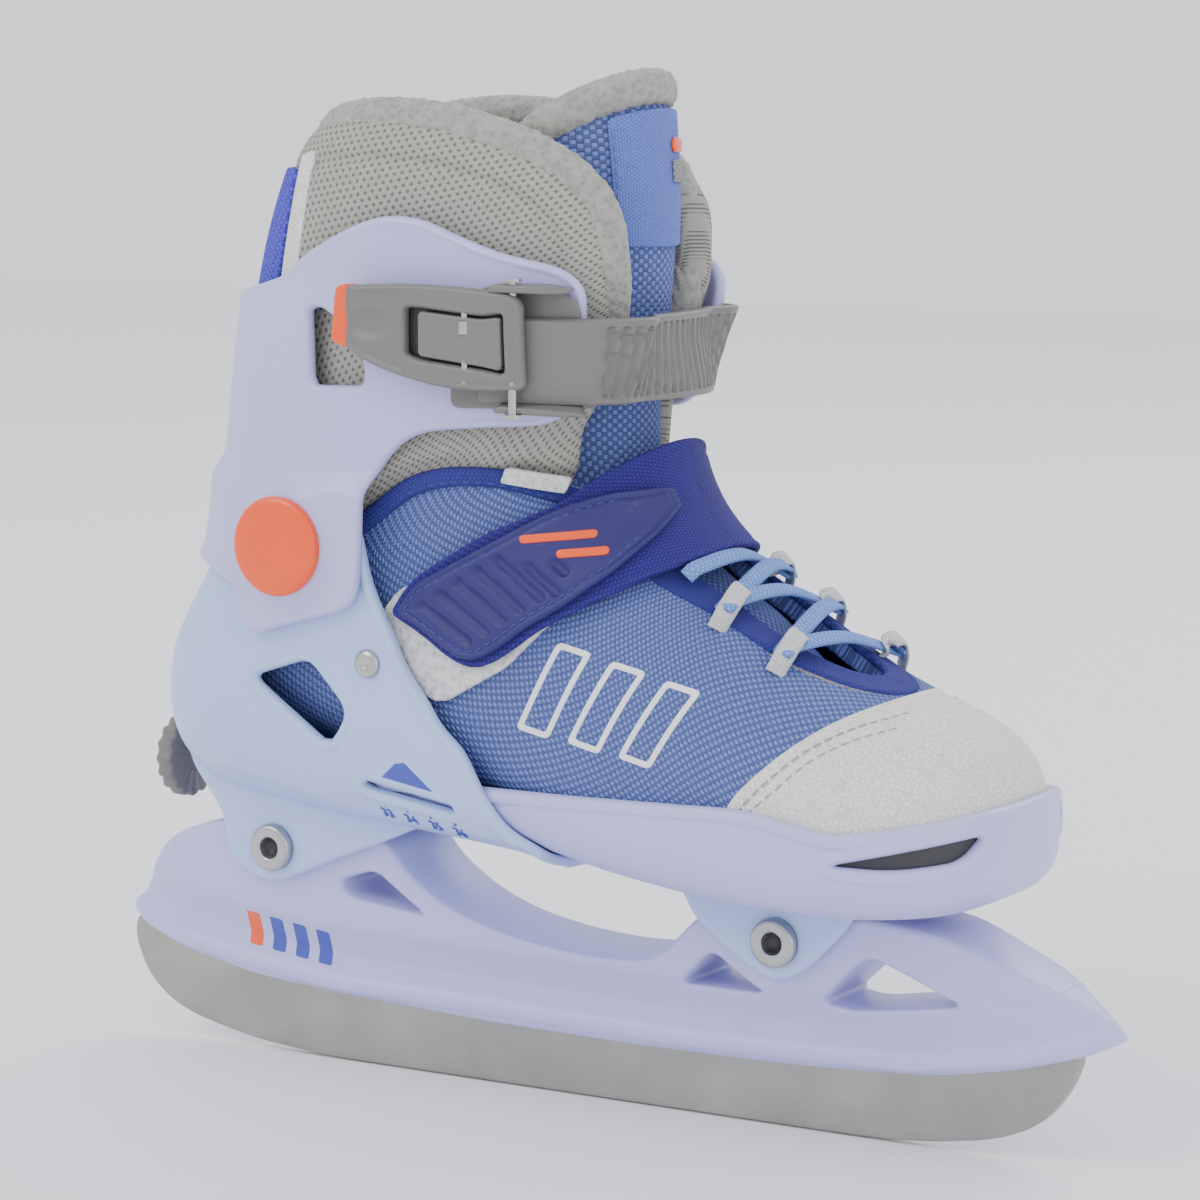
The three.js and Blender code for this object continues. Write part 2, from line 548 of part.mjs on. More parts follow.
// ---------------------------------------------------------------- soft boot
const SOLE = "sole";
const VAMP_STEP = 4.2; // the vamp is thinner where the toe half slides over it
const INSOLE = { gap: 1.4, thickness: 3 };
const PIPING_LINE = [
  [-55, 140], [-45, 147], [-38, 152], [-31, 156], [-21, 158], [-10, 158], [0, 155], [10, 152], [40, 149],
];
const TOE_CAP_LINE = [[58, 40], [58, 85], [65, 92], [74, 100], [82, 104.5], [93, 109], [100, 120]];
const THROAT = [
  [-5, -19.5], [20, -17], [40, -13.5], [58, -13], [74, -9], [78, -4], [78, 4], [74, 9], [58, 13],
  [40, 13.5], [20, 17], [-5, 19.5],
];
const EYESTAY = [
  [14, -24], [40, -20], [60, -19.5], [80, -14], [86, -6], [86, 6], [80, 14], [60, 19.5], [40, 20], [14, 24],
];
const COLLAR_LOW = [
  [-150, 136], [-64, 140], [-55, 143], [-46, 151.5], [-38, 158.5], [-31, 162.5], [-20, 166], [-10, 167.5],
  [10, 166], [40, 166],
];
const COLLAR_TOP = [
  [17, 188], [21, 200], [21.5, 212], [18, 222], [9, 229.5], [-6, 235], [-24, 240], [-42, 241.5],
  [-60, 239.5], [-74, 235], [-82, 232], [-96, 226.5],
];
const COLLAR_HALF_OPENING = 19;

const raised = (line, amount) => line.map(([x, z]) => [x, z + amount]);
const under = (line) => [...line, [line.at(-1)[0], 30], [line[0][0], 30]];

const toeCapRegion = sidePrism([...TOE_CAP_LINE, [160, 120], [160, 40]]);
const capBack = TOE_CAP_LINE.map(([x, z]) => [x - GAP - 0.1, z + GAP]);
const toeCapRoom = sidePrism([...capBack, [160, 125], [160, 39]]);
const bootLayer = layer(-BOOT_WALL, 0, SOLE);
const screwTunnel = onAxis(-SKATE_LENGTH, 0, SCREW_RADIUS + 1);
const throat = planPrism(THROAT, 98, 300);
piece("toe_cap", bootLayer.intersect(toeCapRegion).subtract(toe), "leather");

const vampRegion = sidePrism(under(raised([...PIPING_LINE, [120, 149]], -GAP))).subtract(toeCapRoom);
const TOE_RIM = [[-70, 81], [-46, 81], [-5, 82], [21, 83], [41, 84], [70, 85.5]];
const slideRoom = layer(-VAMP_STEP, 1, SOLE).intersect(sidePrism(under(raised(TOE_RIM, RUN))));
const bridgeRun = box(
  stretchX(BRIDGE.from) - 2, stretchX(BRIDGE.to) + SIZE_TRAVEL + 2, -FAR, FAR, 40, BRIDGE.high + 1.2,
);
const vamp = bootLayer.intersect(vampRegion).subtract(join(throat, slideRoom, bridgeRun));
piece("vamp", vamp.subtract(screwTunnel), "mesh");

const heelRegion = sidePrism([[-150, 134.5], [-64, 136.5], [-55.5, 139], [-55.5, 40], [-150, 40]]);
const heelLiner = bootLayer.intersect(heelRegion);
piece("heel_liner", heelLiner.subtract(screwTunnel), "padding");

/** Point in the middle of the collar's wall at x, z on one side. */
function collarPoint(x, z, side) {
  const place = placeAt(x, z, -stretchX(COLLAR_WALL / 2), side);
  return offBoot(place.s, place.angle, -COLLAR_WALL / 2);
}
const rimSide = COLLAR_TOP.slice(0, -1);
const rimBack = new THREE.Vector3(stretchX(-86.5), 0, 230.4);
const rimPath = [
  ...rimSide.map(([x, z]) => collarPoint(x, z, -1)),
  rimBack,
  ...rimSide.map(([x, z]) => collarPoint(x, z, 1)).reverse(),
];
const RIM_STEPS = 40;
const collarRegion = sidePrism([...COLLAR_LOW, ...COLLAR_TOP, [-150, 225]]);
const opening = box(stretchX(-10), FAR * 2, -COLLAR_HALF_OPENING, COLLAR_HALF_OPENING, 100, 300);
const collar = layer(-COLLAR_WALL, 0)
  .intersect(collarRegion)
  .subtract(join(opening, cord(rimPath, ROLL_RADIUS + GAP, 8, RIM_STEPS)));
const largest = (body) => body.decompose().sort((a, b) => b.volume() - a.volume())[0];
piece("ankle_collar", largest(collar), "padding");
piece("collar_roll", cord(rimPath, ROLL_RADIUS, 8, RIM_STEPS), "padding");

const tabRegion = sidePrism([[-110, 199], [-110, 223], [-70, 223], [-70, 199]]);
const tabWidth = box(-200, 0, -13, 13, 150, 300);
piece("heel_tab", layer(GAP, 2.6).intersect(tabRegion).intersect(tabWidth), "indigo");
for (const [sideName, side] of SIDE_NAMES) {
  const sideOnly = [side < 0 ? -FAR : 0, side < 0 ? 0 : FAR];
  const trim = sidePrism([[-74, 198], [-69.5, 226], [-64.5, 226], [-69, 198]], ...sideOnly);
  piece(`heel_trim_${sideName}`, layer(GAP, 1.6).intersect(trim), "leather");
  const band = sidePrism(
    [...raised(PIPING_LINE.slice(1, -1), GAP), ...raised(PIPING_LINE.slice(1, -1), -5).reverse()],
    side < 0 ? -FAR : COLLAR_HALF_OPENING, side < 0 ? -COLLAR_HALF_OPENING : FAR,
  );
  piece(`ankle_piping_${sideName}`, layer(GAP, 1.7, SOLE).intersect(band).subtract(throat), "piping");
}

const insoleSpace = bootSolid(-BOOT_WALL - INSOLE.gap, SOLE);
const insoleRegion = sidePrism([[-98, 40], [-98, 101], [-60, 96], [0, 82], [104, 71], [104, 40]]);
piece("insole", insoleSpace.subtract(moved(insoleSpace, 0, 0, INSOLE.thickness)).intersect(insoleRegion), "padding");

// ---------------------------------------------------------------- tongue
const TONGUE = [
  { at: [72, 103], half: 13, drop: 7 },
  { at: [58, 110], half: 16.5, drop: 11 },
  { at: [44, 121.5], half: 19, drop: 15 },
  { at: [30, 131], half: 19, drop: 22 },
  { at: [19, 142], half: 19, drop: 28 },
  { at: [12.5, 157], half: 18.5, drop: 34 },
  { at: [12, 174], half: 18.5, drop: 37 },
  { at: [14, 192], half: 20, drop: 38 },
  { at: [15.5, 210], half: 20.5, drop: 40 },
  { at: [15.5, 226], half: 21.5, drop: 42 },
  { at: [14, 242], half: 24, drop: 42 },
];
const TONGUE_ARC = THREE.MathUtils.degToRad(68);
const tongueLine = new THREE.CatmullRomCurve3(
  TONGUE.map(({ at, half }) => new THREE.Vector3(stretchX(at[0]), stretchY(half), at[1])),
);
const dropLine = new THREE.SplineCurve(TONGUE.map(({ drop }, i) => new THREE.Vector2(i, drop)));

/** Tongue surface: v from the toe end to the top, w across, lift outwards from its middle. */
function onTongue(v, w, lift) {
  const centre = tongueLine.getPoint(v);
  const tangent = tongueLine.getTangent(v);
  const out = new THREE.Vector3(tangent.z, 0, -tangent.x).normalize();
  const angle = w * TONGUE_ARC;
  const drop = dropLine.getPoint(v).y;
  const half = centre.y;
  const across = new THREE.Vector3(0, 1, 0).multiplyScalar(half * Math.sin(angle));
  const point = new THREE.Vector3(centre.x, 0, centre.z).add(across);
  point.addScaledVector(out, -drop * (1 - Math.cos(angle)));
  const normal = out.clone().multiplyScalar(half * Math.cos(angle));
  normal.add(new THREE.Vector3(0, drop * Math.sin(angle), 0)).normalize();
  return point.addScaledVector(normal, lift);
}
const tongueHalf = TONGUE_THICKNESS / 2;
piece("tongue", plate(onTongue, -tongueHalf, tongueHalf, 18, 6), "mesh");
const labelPart = (v, w, lift) => onTongue(0.74 + 0.22 * v, 0.5 * w, lift);
piece("tongue_label", plate(labelPart, tongueHalf + 3 * GAP, tongueHalf + 2.1, 6, 4), "label");
const TONGUE_ROLL = 4.2;
const tongueTop = Array.from({ length: 13 }, (_, i) => {
  const point = onTongue(1, -1 + i / 6, 0);
  return point.add(new THREE.Vector3(0, 0, TONGUE_ROLL + GAP + 0.4));
});
piece("tongue_roll", cord(tongueTop, TONGUE_ROLL, 8, 16), "padding");

// ---------------------------------------------------------------- eyestay and lace
const eyestay = layer(GAP, 2.2, SOLE)
  .intersect(planPrism(EYESTAY, 98, 300))
  .intersect(sidePrism([[31, 90], [31, 150], [120, 150], [120, 90]]))
  .subtract(throat);
piece("eyestay", eyestay, "piping");
const LACE_STATIONS = [4.75, 5.2, 5.65, 6.1, 6.55];
const LACE_ANGLE = 0.4;
const LACE_RADIUS = 1.3;
const LACE_TURN = 6.2; // height over the boot where the lace turns in its loops
const lacePath = LACE_STATIONS.flatMap((s, i) => {
  const angle = i % 2 ? LACE_ANGLE : -LACE_ANGLE;
  const turn = offBoot(s, angle, LACE_TURN, SOLE);
  if (i === LACE_STATIONS.length - 1) return [turn];
  const next = offBoot(LACE_STATIONS[i + 1], -angle, LACE_TURN, SOLE);
  return [turn, turn.clone().lerp(next, 0.5).add(new THREE.Vector3(0, 0, 0.6))];
});
piece("lace", cord(lacePath, LACE_RADIUS, 8, 28), "lace");
LACE_STATIONS.forEach((s, i) => {
  const angle = i % 2 ? LACE_ANGLE : -LACE_ANGLE;
  const centre = offBoot(s, angle, 0, SOLE);
  const tab = box(centre.x - 3.5, centre.x + 3.5, centre.y - 4.5, centre.y + 4.5, 90, 160);
  const name = `lace_loop_${i + 1}`;
  piece(name, layer(2.5, 3.2, SOLE).intersect(tab), "leather");
});

// ---------------------------------------------------------------- instep strap
const STRAP_EDGE = [
  [-36.8, 122.6], [-31, 131], [-12, 143], [6, 151], [14, 158], [28, 167], [48, 150], [38, 140], [27, 134],
  [14, 127], [4, 121], [-2, 116], [-9, 112], [-14, 111], [-19, 113], [-26, 118],
];
const STRAP_ANCHOR = [
  [-47, 112], [-40.3, 123.4], [-36.5, 121.5], [-26.3, 117.7], [-19.3, 113.4], [-14.3, 111.4], [-30, 95],
];
const PANEL = [
  [-32, 124], [-27, 130], [-10, 139.5], [8, 147.5], [22, 139], [12, 129.5], [2, 123], [-4, 117.5],
  [-10, 115], [-15, 114.5], [-20, 116.5], [-26, 120],
];
const LOOP_PAD = [[-40, 121], [-26, 101], [-4, 112], [10, 124], [-4, 140], [-28, 130]];
const FLAP_Y = -10; // the strap folds open here, at the top of the instep
const instepIn = 2.8;
const instepOut = 4.9;
const strapLayer = layer(instepIn, instepOut, SOLE);
piece("instep_strap", strapLayer.intersect(sidePrism(STRAP_EDGE, FLAP_Y + GAP / 2, FAR)), "indigo");
piece("strap_flap", strapLayer.intersect(sidePrism(STRAP_EDGE, -FAR, FLAP_Y - GAP / 2)), "indigo");
const panelLayer = layer(instepOut + GAP, instepOut + 2, SOLE);
piece("strap_panel", panelLayer.intersect(sidePrism(PANEL, -FAR, FLAP_Y - 3, 3)), "indigo");
const anchorLayer = layer(0.8, 2.4, SOLE);
piece("strap_anchor", anchorLayer.intersect(sidePrism(STRAP_ANCHOR, 0, FAR)), "indigo");
piece("strap_loop_pad", layer(GAP, 2.4, SOLE).intersect(sidePrism(LOOP_PAD, -FAR, 0)), "leather");

// ---------------------------------------------------------------- cuff
const CUFF_LINE = [
  [-150, 195], [-99, 196], [-68, 203], [-62, 208], [-54, 212], [-45, 216], [-36, 218.5], [-26, 218],
  [-10, 212], [-1, 209.5], [8, 208], [13, 206.5], [17, 203], [17.5, 198], [15, 180], [12.5, 175],
  [9, 171.5], [4, 169.5], [-6, 169], [-18, 168], [-26, 167], [-32, 164], [-37, 159], [-41, 153],
  [-41.5, 147], [-42, 138], [-43, 128], [-46, 123], [-62, 119], [-74, 115], [-77, 116], [-78, 120],
  [-80, 126], [-90, 129.5], [-107, 131], [-150, 131],
];
const CUFF_WINDOW = [[-59, 195.5], [-55, 196], [-47, 191], [-42, 184], [-42, 177.5], [-58, 177]];

const buckleRivet = placeAt(-12, 185, CUFF_OUT - CUFF_HUG, -1);
const strapRivet = placeAt(-12, 185, CUFF_OUT - CUFF_HUG, 1);
let cuff = bootSolid(hugging(CUFF_OUT)).subtract(bootSolid(hugging(CUFF_IN))).intersect(sidePrism(CUFF_LINE));
cuff = cuff.subtract(sidePrism(CUFF_WINDOW, -FAR, FAR, 2));
for (const [, side] of SIDE_NAMES) {
  cuff = cuff.add(pivotBar(side, CUFF_IN + 0.8, CUFF_OUT + 1.6, PIVOT.pad));
  cuff = cuff.subtract(pivotBar(side, -4, 30, PIVOT.radius + GAP));
  cuff = cuff.subtract(pivotBar(side, 0, CUFF_IN - 0.2, PIVOT.pad - 2));
}
for (const place of [buckleRivet, strapRivet]) cuff = cuff.subtract(studAt(place, BUCKLE_RIVET.shank + GAP, -2, 20));
piece("cuff", cuff, "lavender");
for (const [sideName, side] of SIDE_NAMES) {
  const shank = pivotBar(side, BASE_IN - 2.6, CUFF_OUT + 1.8, PIVOT.radius);
  const flange = pivotBar(side, BASE_IN - 3.2, BASE_IN - 2.2, PIVOT.radius + PIVOT.flange);
  piece(`cuff_rivet_${sideName}`, join(shank, flange), "steel");
  const face = CUFF_OUT + CAP.lift;
  piece(`cuff_cap_${sideName}`, pivotBar(side, face, face + CAP.height, CAP.radius, 28), "orange");
}

// ---------------------------------------------------------------- ratchet buckle
const BUCKLE_FRAME = [[-16, 174], [-16, 198], [-3, 203], [12, 203], [17, 198], [17, 174]];
const LEVER_LINE = [
  [-42, 202], [-24, 203], [-9, 202], [4, 201], [5.1, 199.5], [5.1, 178], [-5, 178], [-17, 179], [-30, 182],
  [-38, 185], [-44, 189], [-45, 193],
];
const PAWL_WINDOW = [[-16, 183], [-16, 195], [-4, 195], [-4, 183]];
const EAR = { from: -1, to: 9.5, top: [201.5, 203.2], bottom: [173.8, 175.2] };
const STRAP_END = -7;
const STRAP_FAR_END = -18;

const pinY = (x, distance) => {
  const place = placeAt(x, 188, distance, -1);
  return offBoot(place.s, place.angle, distance).y;
};
const buckleY = pinY(BUCKLE_PIN.x, PIN_OFFSET);
const pawlY = pinY(PAWL_PIN.x, PIN_OFFSET + 0.2);
const upright = (x, y, low, high, radius, sides = 10) =>
  bar([stretchX(x), y, low], [stretchX(x), y, high], radius, sides);

const ears = [EAR.top, EAR.bottom].map(([low, high]) =>
  sidePrism([[EAR.from, low], [EAR.from, high], [EAR.to, high], [EAR.to, low]], -FAR, 0));
const base = layer(FRAME_IN, FRAME_IN + FRAME_WALL).intersect(sidePrism(BUCKLE_FRAME, -FAR, 0));
const frame = join(base, layer(FRAME_IN, LEVER_OUT).intersect(join(...ears)))
  .subtract(upright(BUCKLE_PIN.x, buckleY, 170, 206, BUCKLE_PIN.radius + PIN_CLEARANCE))
  .subtract(studAt(buckleRivet, BUCKLE_RIVET.shank + GAP, -2, 20));
piece("buckle_frame", frame, "grey");
const frameOuter = FRAME_IN + FRAME_WALL;
const rivetFoot = CUFF_IN - CUFF_HUG - 0.6;
piece("buckle_rivet", join(
  studAt(buckleRivet, BUCKLE_RIVET.shank, rivetFoot, frameOuter + GAP + SHANK_INTO_HEAD),
  studAt(buckleRivet, BUCKLE_RIVET.head, frameOuter + GAP, frameOuter + 1.3, 16),
), "steel");

const pinReach = { low: 173, high: 204 };
const pinEnds = [pinReach.low, pinReach.high];
const pinHeads = pinEnds.map((z, i) =>
  upright(BUCKLE_PIN.x, buckleY, z - (i ? 0 : 0.8), z + (i ? 0.8 : 0), BUCKLE_PIN.radius + 1.2));
const pinShank = upright(BUCKLE_PIN.x, buckleY, ...pinEnds, BUCKLE_PIN.radius);
piece("buckle_pin", join(pinShank, ...pinHeads), "steel");

const leverPlate = layer(LEVER_IN, LEVER_OUT).intersect(sidePrism(LEVER_LINE, -FAR, 0, 1.5));
const lever = join(leverPlate, upright(BUCKLE_PIN.x, buckleY, 178, 200.9, BUCKLE_PIN.radius + 1.1))
  .subtract(sidePrism(PAWL_WINDOW, -FAR, 0))
  .subtract(upright(BUCKLE_PIN.x, buckleY, 150, 230, BUCKLE_PIN.radius + PIN_CLEARANCE))
  .subtract(upright(PAWL_PIN.x, pawlY, 179.5, 198.5, PAWL_PIN.radius + PIN_CLEARANCE));
piece("buckle_lever", lever, "grey");
const tipRegion = sidePrism([[-44, 190], [-43, 201], [-38, 201.5], [-38, 187]], -FAR, 0);
piece("lever_tip", layer(LEVER_IN - 2, LEVER_IN - GAP).intersect(tipRegion), "orange");

const pawlRegion = sidePrism([[-15.4, 183.6], [-15.4, 191], [-4.6, 191], [-4.6, 183.6]], -FAR, 0);
const pawl = layer(LEVER_IN, LEVER_OUT - 0.6).intersect(pawlRegion)
  .subtract(upright(PAWL_PIN.x, pawlY, 150, 230, PAWL_PIN.radius + PIN_CLEARANCE));
piece("release_pawl", pawl, "grey");
piece("pawl_pin", upright(PAWL_PIN.x, pawlY, 180, 198, PAWL_PIN.radius), "steel");
piece("pawl_spring", upright(PAWL_PIN.x, pawlY, 191.5, 194.5, 1.5)
  .subtract(upright(PAWL_PIN.x, pawlY, 190, 196, PAWL_PIN.radius + 0.25)), "steel");

/** Off the frame the strap comes down to the cuff, and past the cuff's edge down towards the tongue. */
function sink(point) {
  const { smoothstep } = THREE.MathUtils;
  const front = FRONT_SINK.low + FRONT_SINK.more * smoothstep(point.z, STRAP.low, STRAP.high);
  const ahead = 1 - smoothstep(Math.abs(point.y), stretchY(13), stretchY(22));
  return (FRAME_WALL + GAP) * smoothstep(point.y, -15, 20) + front * ahead;
}
const strapRun = (distance) => (point) => distance - sink(point);
const strapBand = sidePrism([[-60, STRAP.low], [-60, STRAP.high], [60, STRAP.high], [60, STRAP.low]]);
const behind = join(
  box(-SKATE_LENGTH, stretchX(STRAP_END), -FAR, 0, 150, 220),
  box(-SKATE_LENGTH, stretchX(STRAP_FAR_END), -1, FAR, 150, 220),
);
const ladder = bootSolid(strapRun(STRAP_OUT)).subtract(bootSolid(strapRun(STRAP_IN))).intersect(strapBand)
  .subtract(behind)
  .subtract(studAt(strapRivet, BUCKLE_RIVET.shank + GAP, -2, 20));
piece("ladder_strap", ladder, "grey");
const strapFace = STRAP_OUT - FRAME_WALL - GAP;
piece("strap_rivet", join(
  studAt(strapRivet, BUCKLE_RIVET.shank, rivetFoot, strapFace + GAP + SHANK_INTO_HEAD),
  studAt(strapRivet, BUCKLE_RIVET.tail, strapFace + GAP, strapFace + 1.4, 16),
), "steel");

export default skate;
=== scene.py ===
"""Looks of a child's adjustable ice skate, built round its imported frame.

Metres, with +X to the toe, +Z up and -Y to the outer side. Shapes are worked out in millimetres.
"""
import math

import bpy
import numpy as np
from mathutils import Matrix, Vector


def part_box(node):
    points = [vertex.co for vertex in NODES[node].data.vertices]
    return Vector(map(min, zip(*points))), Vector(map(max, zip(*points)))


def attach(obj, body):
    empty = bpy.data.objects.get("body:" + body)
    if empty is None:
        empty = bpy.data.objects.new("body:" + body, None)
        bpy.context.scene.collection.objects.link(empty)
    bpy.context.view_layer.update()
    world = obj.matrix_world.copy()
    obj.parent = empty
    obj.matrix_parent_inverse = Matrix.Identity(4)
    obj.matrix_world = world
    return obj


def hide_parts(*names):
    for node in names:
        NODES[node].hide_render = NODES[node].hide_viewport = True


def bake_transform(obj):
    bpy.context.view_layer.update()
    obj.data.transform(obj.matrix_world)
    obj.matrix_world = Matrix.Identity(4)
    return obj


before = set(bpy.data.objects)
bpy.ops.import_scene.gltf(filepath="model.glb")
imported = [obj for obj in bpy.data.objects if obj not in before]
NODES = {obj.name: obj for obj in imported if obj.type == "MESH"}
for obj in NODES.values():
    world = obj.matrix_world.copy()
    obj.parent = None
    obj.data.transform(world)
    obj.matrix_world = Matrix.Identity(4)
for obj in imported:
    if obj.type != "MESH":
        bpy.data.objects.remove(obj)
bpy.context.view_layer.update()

MM = 0.001
FULL_TURN = 2 * math.pi

# ------------------------------------------------------------------ layers outside the boot, in millimetres
TOE_IN, TOE_OUT = 0.4, 3.2
BASE_IN, BASE_OUT = 3.6, 6.4
CUFF_IN, CUFF_OUT = 7.2, 10.0
CUFF_HUG = 3.4  # the cuff lies this much closer above the base wing
FRAME_IN, FRAME_OUT = 7.2, 8.6
STRAP_IN, STRAP_OUT = 8.9, 11.1
LEVER_IN, LEVER_OUT = 12.3, 15.3
PIVOT = (-64.0, 138.0)
FORK_IN, FORK_OUT = 14.4, 17.6  # distances of the fork's cheeks from the centre plane
BOLT_PLACES = {"rear": (-86, 57), "front": (59, 48.5)}
WING_RIVET = (-42, 110)
KNOB_X, KNOB_Z = -128.5, 75
HUG_LOW, HUG_HIGH = 150, 158
OUTER_SIDE, INNER_SIDE = -1, 1

# ------------------------------------------------------------------ the boot's form
# Each station joins a point of the front line to one of the back line; soles differ under shell and boot.
FORM = np.array([
    # front x, z    boot back x, z  shell back x, z  half  split round front, back
    [114.5, 80, 114.5, 76, 114.5, 75, 3, 0.55, 2, 2],
    [113.5, 90, 113.5, 69, 113.5, 68, 14, 0.58, 2, 3],
    [109, 97, 109, 64.8, 109, 64.5, 23.5, 0.6, 2.1, 3.6],
    [100, 102.5, 100, 62, 100, 61.8, 31, 0.62, 2.2, 4],
    [85, 107.5, 85, 61, 85, 60.8, 37.5, 0.64, 2.3, 4.5],
    [66, 116, 66, 61.4, 66, 61.2, 41, 0.66, 2.3, 4.5],
    [48, 127.5, 45, 62.8, 45, 62.2, 40.5, 0.66, 2.2, 4.5],
    [36, 136, 20, 66, 20, 64.7, 38, 0.62, 2.1, 4.5],
    [28, 144, -8, 74.5, -8, 69, 35.5, 0.58, 2.1, 4.2],
    [23, 153, -40, 80.5, -40, 71.4, 34, 0.55, 2.1, 3.8],
    [20.5, 164, -75, 86, -78, 73.8, 33, 0.52, 2.1, 3.2],
    [20.5, 175, -103, 93, -109, 80, 33, 0.5, 2.4, 2.8],
    [21.5, 186, -110, 108, -115.5, 100, 33.5, 0.5, 2.5, 2.4],
    [23.5, 196, -101, 131, -101, 129, 33.8, 0.5, 2.6, 2.3],
    [27, 206, -97.5, 157, -97.5, 157, 34, 0.5, 2.7, 2.3],
    [27.5, 217, -94, 184, -94, 184, 34, 0.5, 2.7, 2.3],
    [27, 229, -90, 205, -90, 205, 34, 0.5, 2.8, 2.3],
    [25.5, 241, -83.5, 224, -83.5, 224, 34, 0.5, 3, 2.3],
    [25, 252, -75, 240, -75, 240, 34.5, 0.5, 3.2, 2.3],
    [21, 263, -68, 254, -68, 254, 34, 0.5, 3, 2.3],
])
LAST = len(FORM) - 1
OUTER_FULLNESS = 1.7  # the outer front is squarer above the ankle, where the buckle lies on it
FULLNESS_FROM, FULLNESS_TO = 11, 12.5
STATION_LENGTH, RADIAN_LENGTH = 14, 42  # usual millimetres to a station and to a radian, for grid sizes
SHELL_COLUMNS = [0, 1, 4, 5, 6, 7, 8, 9]
SOLE_COLUMNS = [0, 1, 2, 3, 6, 7, 8, 9]


def smooth(value, low, high):
    """Smoothstep of value between low and high."""
    t = np.clip((value - low) / (high - low), 0, 1)
    return t * t * (3 - 2 * t)


def form_values(s, kind):
    """Catmull-Rom blend of the stations at place s, one row for each s."""
    table = FORM[:, SOLE_COLUMNS if kind == "sole" else SHELL_COLUMNS]
    i = np.clip(np.floor(s).astype(int), 0, LAST - 1)
    f = (s - i)[:, None]
    a, b, c, d = (table[np.clip(i + k, 0, LAST)] for k in (-1, 0, 1, 2))
    return 0.5 * (2 * b + (c - a) * f + (2 * a - 5 * b + 4 * c - d) * f**2 + (3 * b - a - 3 * c + d) * f**3)


def on_boot(s, angle, kind="shell"):
    """Superellipse section of station s at an angle: 0 on the front line, pi on the back line, as (n, 3)."""
    fx, fz, bx, bz, half, split, round_front, round_back = form_values(np.clip(s, 0, LAST), kind).T
    along, across = np.cos(angle), np.sin(angle)
    fuller = OUTER_FULLNESS * (across > 0) * smooth(s, FULLNESS_FROM, FULLNESS_TO)
    power = np.where(along > 0, round_front + fuller, round_back)
    reach = (np.abs(along) ** power + np.abs(across) ** power) ** (-1 / power)
    share = np.where(along > 0, split * (1 - along * reach), split - along * reach * (1 - split))
    ring = np.stack([fx + (bx - fx) * share, -half * across * reach, fz + (bz - fz) * share], 1)
    middle = np.stack([(fx + bx) / 2, 0 * fx, (fz + bz) / 2], 1)
    tip = np.clip(-s, 0, 1)[:, None]
    return ring + (middle - ring) * tip


def boot_normal(s, angle, kind="shell"):
    """Outward normal: the cross product of two small steps along the form."""
    step = 0.03
    held = np.clip(s, step, LAST - step)
    along = on_boot(held + step, angle, kind) - on_boot(held - step, angle, kind)
    around = on_boot(held, angle + step, kind) - on_boot(held, angle - step, kind)
    normal = np.cross(along, around)
    normal /= np.linalg.norm(normal, axis=1)[:, None]
    forward = np.zeros_like(normal)
    forward[:, 0] = 1
    tip = smooth(-s, 0, 1)[:, None]
    normal = normal * (1 - tip) + forward * tip
    return normal / np.linalg.norm(normal, axis=1)[:, None]


def off_boot(s, angle, distance, kind="shell"):
    """Point at a distance outside the boot's surface."""
    s, angle = np.broadcast_arrays(np.atleast_1d(np.asarray(s, float)), np.asarray(angle, float))
    distance = np.broadcast_to(distance, s.shape)
    return on_boot(s, angle, kind) + boot_normal(s, angle, kind) * distance[:, None]


def place_at(points, distance, side=OUTER_SIDE, kind="shell"):
    """Places (s, angle) whose points have the wanted (x, z): the nearest of a lattice, then Newton steps."""
    points = np.asarray(points, float)[:, :2]
    s, angle = np.meshgrid(np.linspace(0.2, LAST - 0.2, 150), np.linspace(0.05, 3.09, 90))
    s, angle = s.ravel(), angle.ravel()
    lattice = off_boot(s, angle, distance, kind)[:, [0, 2]]
    near = np.argmin(((points[:, None] - lattice[None]) ** 2).sum(2), 1)
    s, angle = s[near], angle[near]
    h = 1e-3
    for _ in range(8):
        here = off_boot(s, angle, distance, kind)[:, [0, 2]]
        ds = (off_boot(s + h, angle, distance, kind)[:, [0, 2]] - here) / h
        da = (off_boot(s, angle + h, distance, kind)[:, [0, 2]] - here) / h
        miss = points - here
        det = ds[:, 0] * da[:, 1] - ds[:, 1] * da[:, 0]
        det = np.where(np.abs(det) < 1.0, np.where(det < 0, -1.0, 1.0), det)
        step_s = (miss[:, 0] * da[:, 1] - miss[:, 1] * da[:, 0]) / det
        step_a = (ds[:, 0] * miss[:, 1] - ds[:, 1] * miss[:, 0]) / det
        s = np.clip(s + np.clip(step_s, -0.3, 0.3), 0.02, LAST - 0.02)
        angle = np.clip(angle + np.clip(step_a, -0.2, 0.2), 0.0, math.pi)
    return s, angle if side < 0 else -angle


# ------------------------------------------------------------------ outlines and their distance fields
BLOCK = 20000  # points worked out at a time


def eased(points, ease=0.0, steps=6):
    """Closed outline whose corners become quadratic curves; a third number in a point is its own easing."""
    corners = np.array([p[:2] for p in points], float)
    reach = np.array([p[2] if len(p) > 2 else ease for p in points], float)
    before, after = np.roll(corners, 1, 0), np.roll(corners, -1, 0)

    def toward(other):
        length = np.maximum(np.linalg.norm(other - corners, axis=1), 1e-9)
        return corners + (other - corners) * np.minimum(0.5, reach / length)[:, None]

    into, out = toward(before), toward(after)
    t = np.linspace(0, 1, steps)[None, :, None]
    curve = (1 - t) ** 2 * into[:, None] + 2 * t * (1 - t) * corners[:, None] + t**2 * out[:, None]
    flat = curve.reshape(-1, 2)
    keep = np.ones(len(flat), bool)
    keep[1:] = np.linalg.norm(np.diff(flat, axis=0), axis=1) > 1e-6
    return flat[keep]


